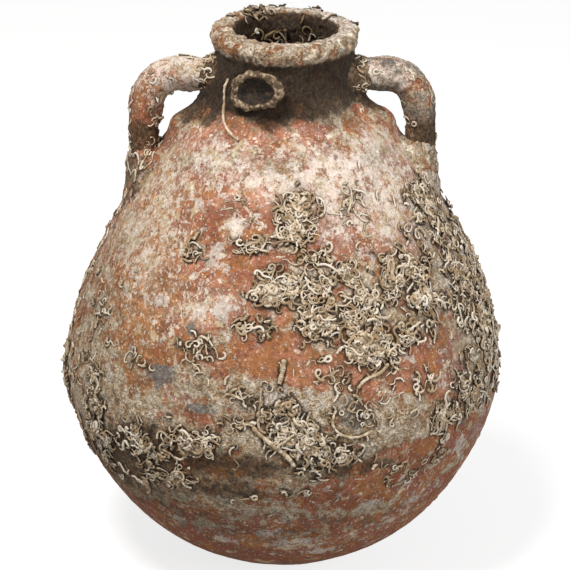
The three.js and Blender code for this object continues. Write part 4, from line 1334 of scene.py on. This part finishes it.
def bar_looks(side, skin):
    """The tints along a handle's bar, from the neck to the shoulder."""
    looks = dict(HANDLE_LOOKS[side])
    share = ((skin.run - skin.run[0]) / (skin.run[-1] - skin.run[0]))[:, None]
    root_grime = 0.5 * (1 - smoothstep(0, 0.2, share))
    arm_grime = 0.85 * smoothstep(0.4, 0.75, share)
    looks["grime_and_shade"] = np.maximum(root_grime, arm_grime)
    looks["haze"] = looks["haze"] * (1 - 0.7 * smoothstep(0.35, 0.6, share))
    looks["red"] = looks["red"] + 0.5 * smoothstep(0.2, 0.35, share) * (side == "left")
    return looks


def pad_looks(side, part, skin):
    """The tints of a pad: those of the wall under it, with more grime and crust."""
    looks = wall_looks_under(skin)
    looks["grime_and_shade"] = np.maximum(looks["grime_and_shade"], PAD_GRIME[side, part])
    looks["crust"] = np.maximum(looks["crust"], PAD_CRUST[side])
    return looks


for (side, part), skin in handle_skins.items():
    skin.settle_shade(2, 0.6)
    if part == "bar":
        node = f"{side}_handle"
        looks = bar_looks(side, skin)
    else:
        node = f"{side}_handle_{part}"
        looks = pad_looks(side, part, skin)
    ringed_piece(f"{node}_clay", skin, {**looks, "deep": 0.0, "shade": skin.shade}, clay, node)


# Profile of the shell: share of its half size and height off the wall, from its middle outwards
SHELL_PROFILE = [
    (0.02, 2.8), (0.3, 3.0), (0.5, 4.0), (0.64, 6.0), (0.73, 8.6), (0.83, 10.2),
    (0.95, 9.8), (1.03, 8.4), (1.03, 6.0), (0.97, 3.0), (0.9, 0.0), (0.86, -3.5),
]
PROFILE_HALF_SIZE = 16
PROFILE_LIFT = 9
SHELL_RAISED = 3.0
SHELL_HOLLOW_SHARE = 0.42


def shell_place():
    """The middle of the shell, and its directions along the wall, up it and out of it."""
    start_run, end_run = outline_run[spans["neck"][0]], outline_run[spans["neck"][1]]
    run = start_run * (1 - SHELL_LEVEL) + end_run * SHELL_LEVEL
    middle, out = jar.place(np.array([math.radians(SHELL_TURN)]), np.array([run]), np.array([0.0]))
    across = unit(np.cross([0, 0, 1], out[0]))
    return middle[0] + np.array([0, 0, SHELL_RAISED]), across, np.cross(out[0], across), out[0]


def oyster():
    """The cupped valve on the neck, as rings from the middle of its hollow out over the lip to the wall."""
    middle, across, up, out = shell_place()
    scale = (PROFILE_HALF_SIZE, 1)
    rings = resample(np.array(SHELL_PROFILE) * scale, 0.7) / scale
    angle = np.arange(SHELL_COLUMNS) * TURN / SHELL_COLUMNS - math.pi
    waves = [(0.06, 2, 0.6), (0.05, 3, 2), (0.02, 7, 1)]
    wobble = 1 + sum(height * np.sin(number * angle + start) for height, number, start in waves)
    tilt = 1.6 * np.cos(angle - 1.2)
    u = rings[:, :1] * wobble * np.cos(angle) * SHELL_LENGTH / 2
    v = rings[:, :1] * wobble * np.sin(angle) * SHELL_BREADTH / 2
    level = rings[:, 1:] / PROFILE_LIFT
    w = level * SHELL_LIFT + tilt * np.clip(level, 0, 1)
    points = middle + u[..., None] * across + v[..., None] * up + w[..., None] * out
    away = -grid_normals(points)
    in_hollow = np.arange(len(rings)) < SHELL_HOLLOW_SHARE * len(rings)
    is_inside = np.repeat(in_hollow[:, None], SHELL_COLUMNS, axis=1)
    lumps = 0.7 * rough(points, 10, 3, 61) + 0.5 * rough(points, 3.5, 3, 62)
    points = points + away * (lumps * np.where(is_inside, 1.0, 2.1))[..., None]
    skin = Skin(points, away, np.arange(len(rings)))
    ringed_piece("oyster_valve", skin, {"hollow": is_inside}, shell_lime, "oyster_valve_on_neck")


oyster()

# Growth pieces, each standing for the frame's colonies in its own quarter of the front or at the back

QUARTER_AZIMUTH = math.radians(8)
QUARTER_HEIGHT = 200


def region_of(colony):
    """The quarter of the front that a colony lies in, or the back."""
    low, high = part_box(colony)
    middle = (low + high) / 2
    if middle.y > 0:
        return "back"
    height_word = "upper" if middle.z / MM > QUARTER_HEIGHT else "lower"
    side_word = "left" if math.atan2(middle.x, -middle.y) < QUARTER_AZIMUTH else "right"
    return f"{height_word}_{side_word}"


front = np.abs(wall_tubes["turn"]) < math.pi / 2
on_left = wall_tubes["turn"] < QUARTER_AZIMUTH
is_high = wall_tubes["run"] > run_at_height(QUARTER_HEIGHT)
regions = {
    "upper_left": front & is_high & on_left,
    "upper_right": front & is_high & ~on_left,
    "lower_left": front & ~is_high & on_left,
    "lower_right": front & ~is_high & ~on_left,
    "back": ~front,
}
colonies = [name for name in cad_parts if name.startswith("colony_") and name != "colony_in_mouth"]
for region, mask in regions.items():
    nodes = [name for name in colonies if region_of(name) == region]
    tube_piece(f"growth_{region}", chosen(wall_tubes, mask), lime, *nodes)
tube_piece("growth_in_mouth", mouth_tubes, mouth_lime_painted_shade, "colony_in_mouth")
for side, tubes in handle_tubes.items():
    tube_piece(f"growth_on_{side}_handle", tubes, lime)
for name, tube in singles.items():
    tube_piece(f"{name}_lime", tube, lime, name)


# Light, floor and camera

# Name, place, aim and size in metres, power in watts, and tint
LAMPS = [
    ("key_above", (-0.5, -0.8, 1.9), (0, 0, 0.25), 0.5, 37, (1, 0.985, 0.96)),
    ("fill_right", (1.5, -1.2, 0.9), (0, 0, 0.2), 1.2, 19, (0.97, 0.985, 1)),
]
WORLD_LIGHT = 0.28
WORLD_SEEN = 1.0
FLOOR_HALF_SIZE = 6
FLOOR_CORNERS = [(-1, -1, 0), (1, -1, 0), (1, 1, 0), (-1, 1, 0)]
FLOOR_MATT = 0.35
FLOOR_GLOW = 0.78


def add_light(name, place, aim, size, power, tint):
    """A round lamp turned towards its aim."""
    data = bpy.data.lights.new(name, "AREA")
    data.shape = "DISK"
    data.size = size
    data.energy = power
    data.color = tint
    lamp = bpy.data.objects.new(name, data)
    bpy.context.scene.collection.objects.link(lamp)
    lamp.location = place
    lamp.rotation_euler = (Vector(aim) - Vector(place)).to_track_quat("-Z", "Y").to_euler()


for lamp in LAMPS:
    add_light(*lamp)


def seen_directly(tree):
    """1 where the camera, a reflection or glass sees a surface or the world, 0 where it only lights."""
    path = tree.nodes.new("ShaderNodeLightPath")
    seen = path.outputs["Is Camera Ray"]
    for ray in ("Is Glossy Ray", "Is Transmission Ray"):
        either = tree.nodes.new("ShaderNodeMath")
        either.operation = "ADD"
        either.use_clamp = True
        tree.links.new(seen, either.inputs[0])
        tree.links.new(path.outputs[ray], either.inputs[1])
        seen = either.outputs[0]
    return seen


def white_background(tree, strength):
    """A white background of the given strength."""
    node = tree.nodes.new("ShaderNodeBackground")
    node.inputs["Color"].default_value = (1, 1, 1, 1)
    node.inputs["Strength"].default_value = strength
    return node.outputs[0]


def light_world():
    """A world that is seen white but lights the jar only faintly."""
    world = bpy.data.worlds.new("studio")
    bpy.context.scene.world = world
    world.use_nodes = True
    tree = world.node_tree
    tree.nodes.clear()
    mix = tree.nodes.new("ShaderNodeMixShader")
    output = tree.nodes.new("ShaderNodeOutputWorld")
    tree.links.new(seen_directly(tree), mix.inputs[0])
    tree.links.new(white_background(tree, WORLD_LIGHT), mix.inputs[1])
    tree.links.new(white_background(tree, WORLD_SEEN), mix.inputs[2])
    tree.links.new(mix.outputs[0], output.inputs[0])


def add_floor():
    """A grey floor that glows where it is seen, so that it looks like paper with a soft shadow."""
    corners = np.array(FLOOR_CORNERS) * FLOOR_HALF_SIZE / MM
    floor = make_mesh("floor", corners, [np.array([[0, 1, 2, 3]])])
    material = bpy.data.materials.new("paper_floor")
    material.use_nodes = True
    tree = material.node_tree
    tree.nodes.clear()
    matt = tree.nodes.new("ShaderNodeBsdfDiffuse")
    matt.inputs["Color"].default_value = (FLOOR_MATT, FLOOR_MATT, FLOOR_MATT, 1)
    glow = tree.nodes.new("ShaderNodeEmission")
    tree.links.new(seen_directly(tree), glow.inputs["Strength"])
    glow.inputs["Color"].default_value = (FLOOR_GLOW, FLOOR_GLOW, FLOOR_GLOW, 1)
    both = tree.nodes.new("ShaderNodeAddShader")
    output = tree.nodes.new("ShaderNodeOutputMaterial")
    tree.links.new(matt.outputs[0], both.inputs[0])
    tree.links.new(glow.outputs[0], both.inputs[1])
    tree.links.new(both.outputs[0], output.inputs["Surface"])
    floor.data.materials.append(material)


CAMERA_ELEVATION = math.radians(22)
CAMERA_DISTANCE = 2.134
CAMERA_AIM_HEIGHT = 0.2056
CAMERA_LENS = 187.3
CAMERA_ROLL = math.radians(0.44)
CAMERA_SHIFT_X = 2 / 570
CAMERA_SENSOR = 36
CAMERA_FAR = 50


def add_camera():
    """The photo's view: from the front, looking slightly down."""
    data = bpy.data.cameras.new("camera")
    data.lens = CAMERA_LENS
    data.sensor_width = CAMERA_SENSOR
    data.shift_x = CAMERA_SHIFT_X
    camera = bpy.data.objects.new("camera", data)
    bpy.context.scene.collection.objects.link(camera)
    back = Vector((0, -math.cos(CAMERA_ELEVATION), math.sin(CAMERA_ELEVATION)))
    place = Vector((0, 0, CAMERA_AIM_HEIGHT)) + back * CAMERA_DISTANCE
    turn = (-back).to_track_quat("-Z", "Y").to_matrix().to_4x4() @ Matrix.Rotation(CAMERA_ROLL, 4, "Z")
    camera.matrix_world = Matrix.Translation(place) @ turn
    data.clip_end = CAMERA_FAR
    bpy.context.scene.camera = camera


light_world()
add_floor()
add_camera()
bpy.context.scene.view_settings.view_transform = "Standard"
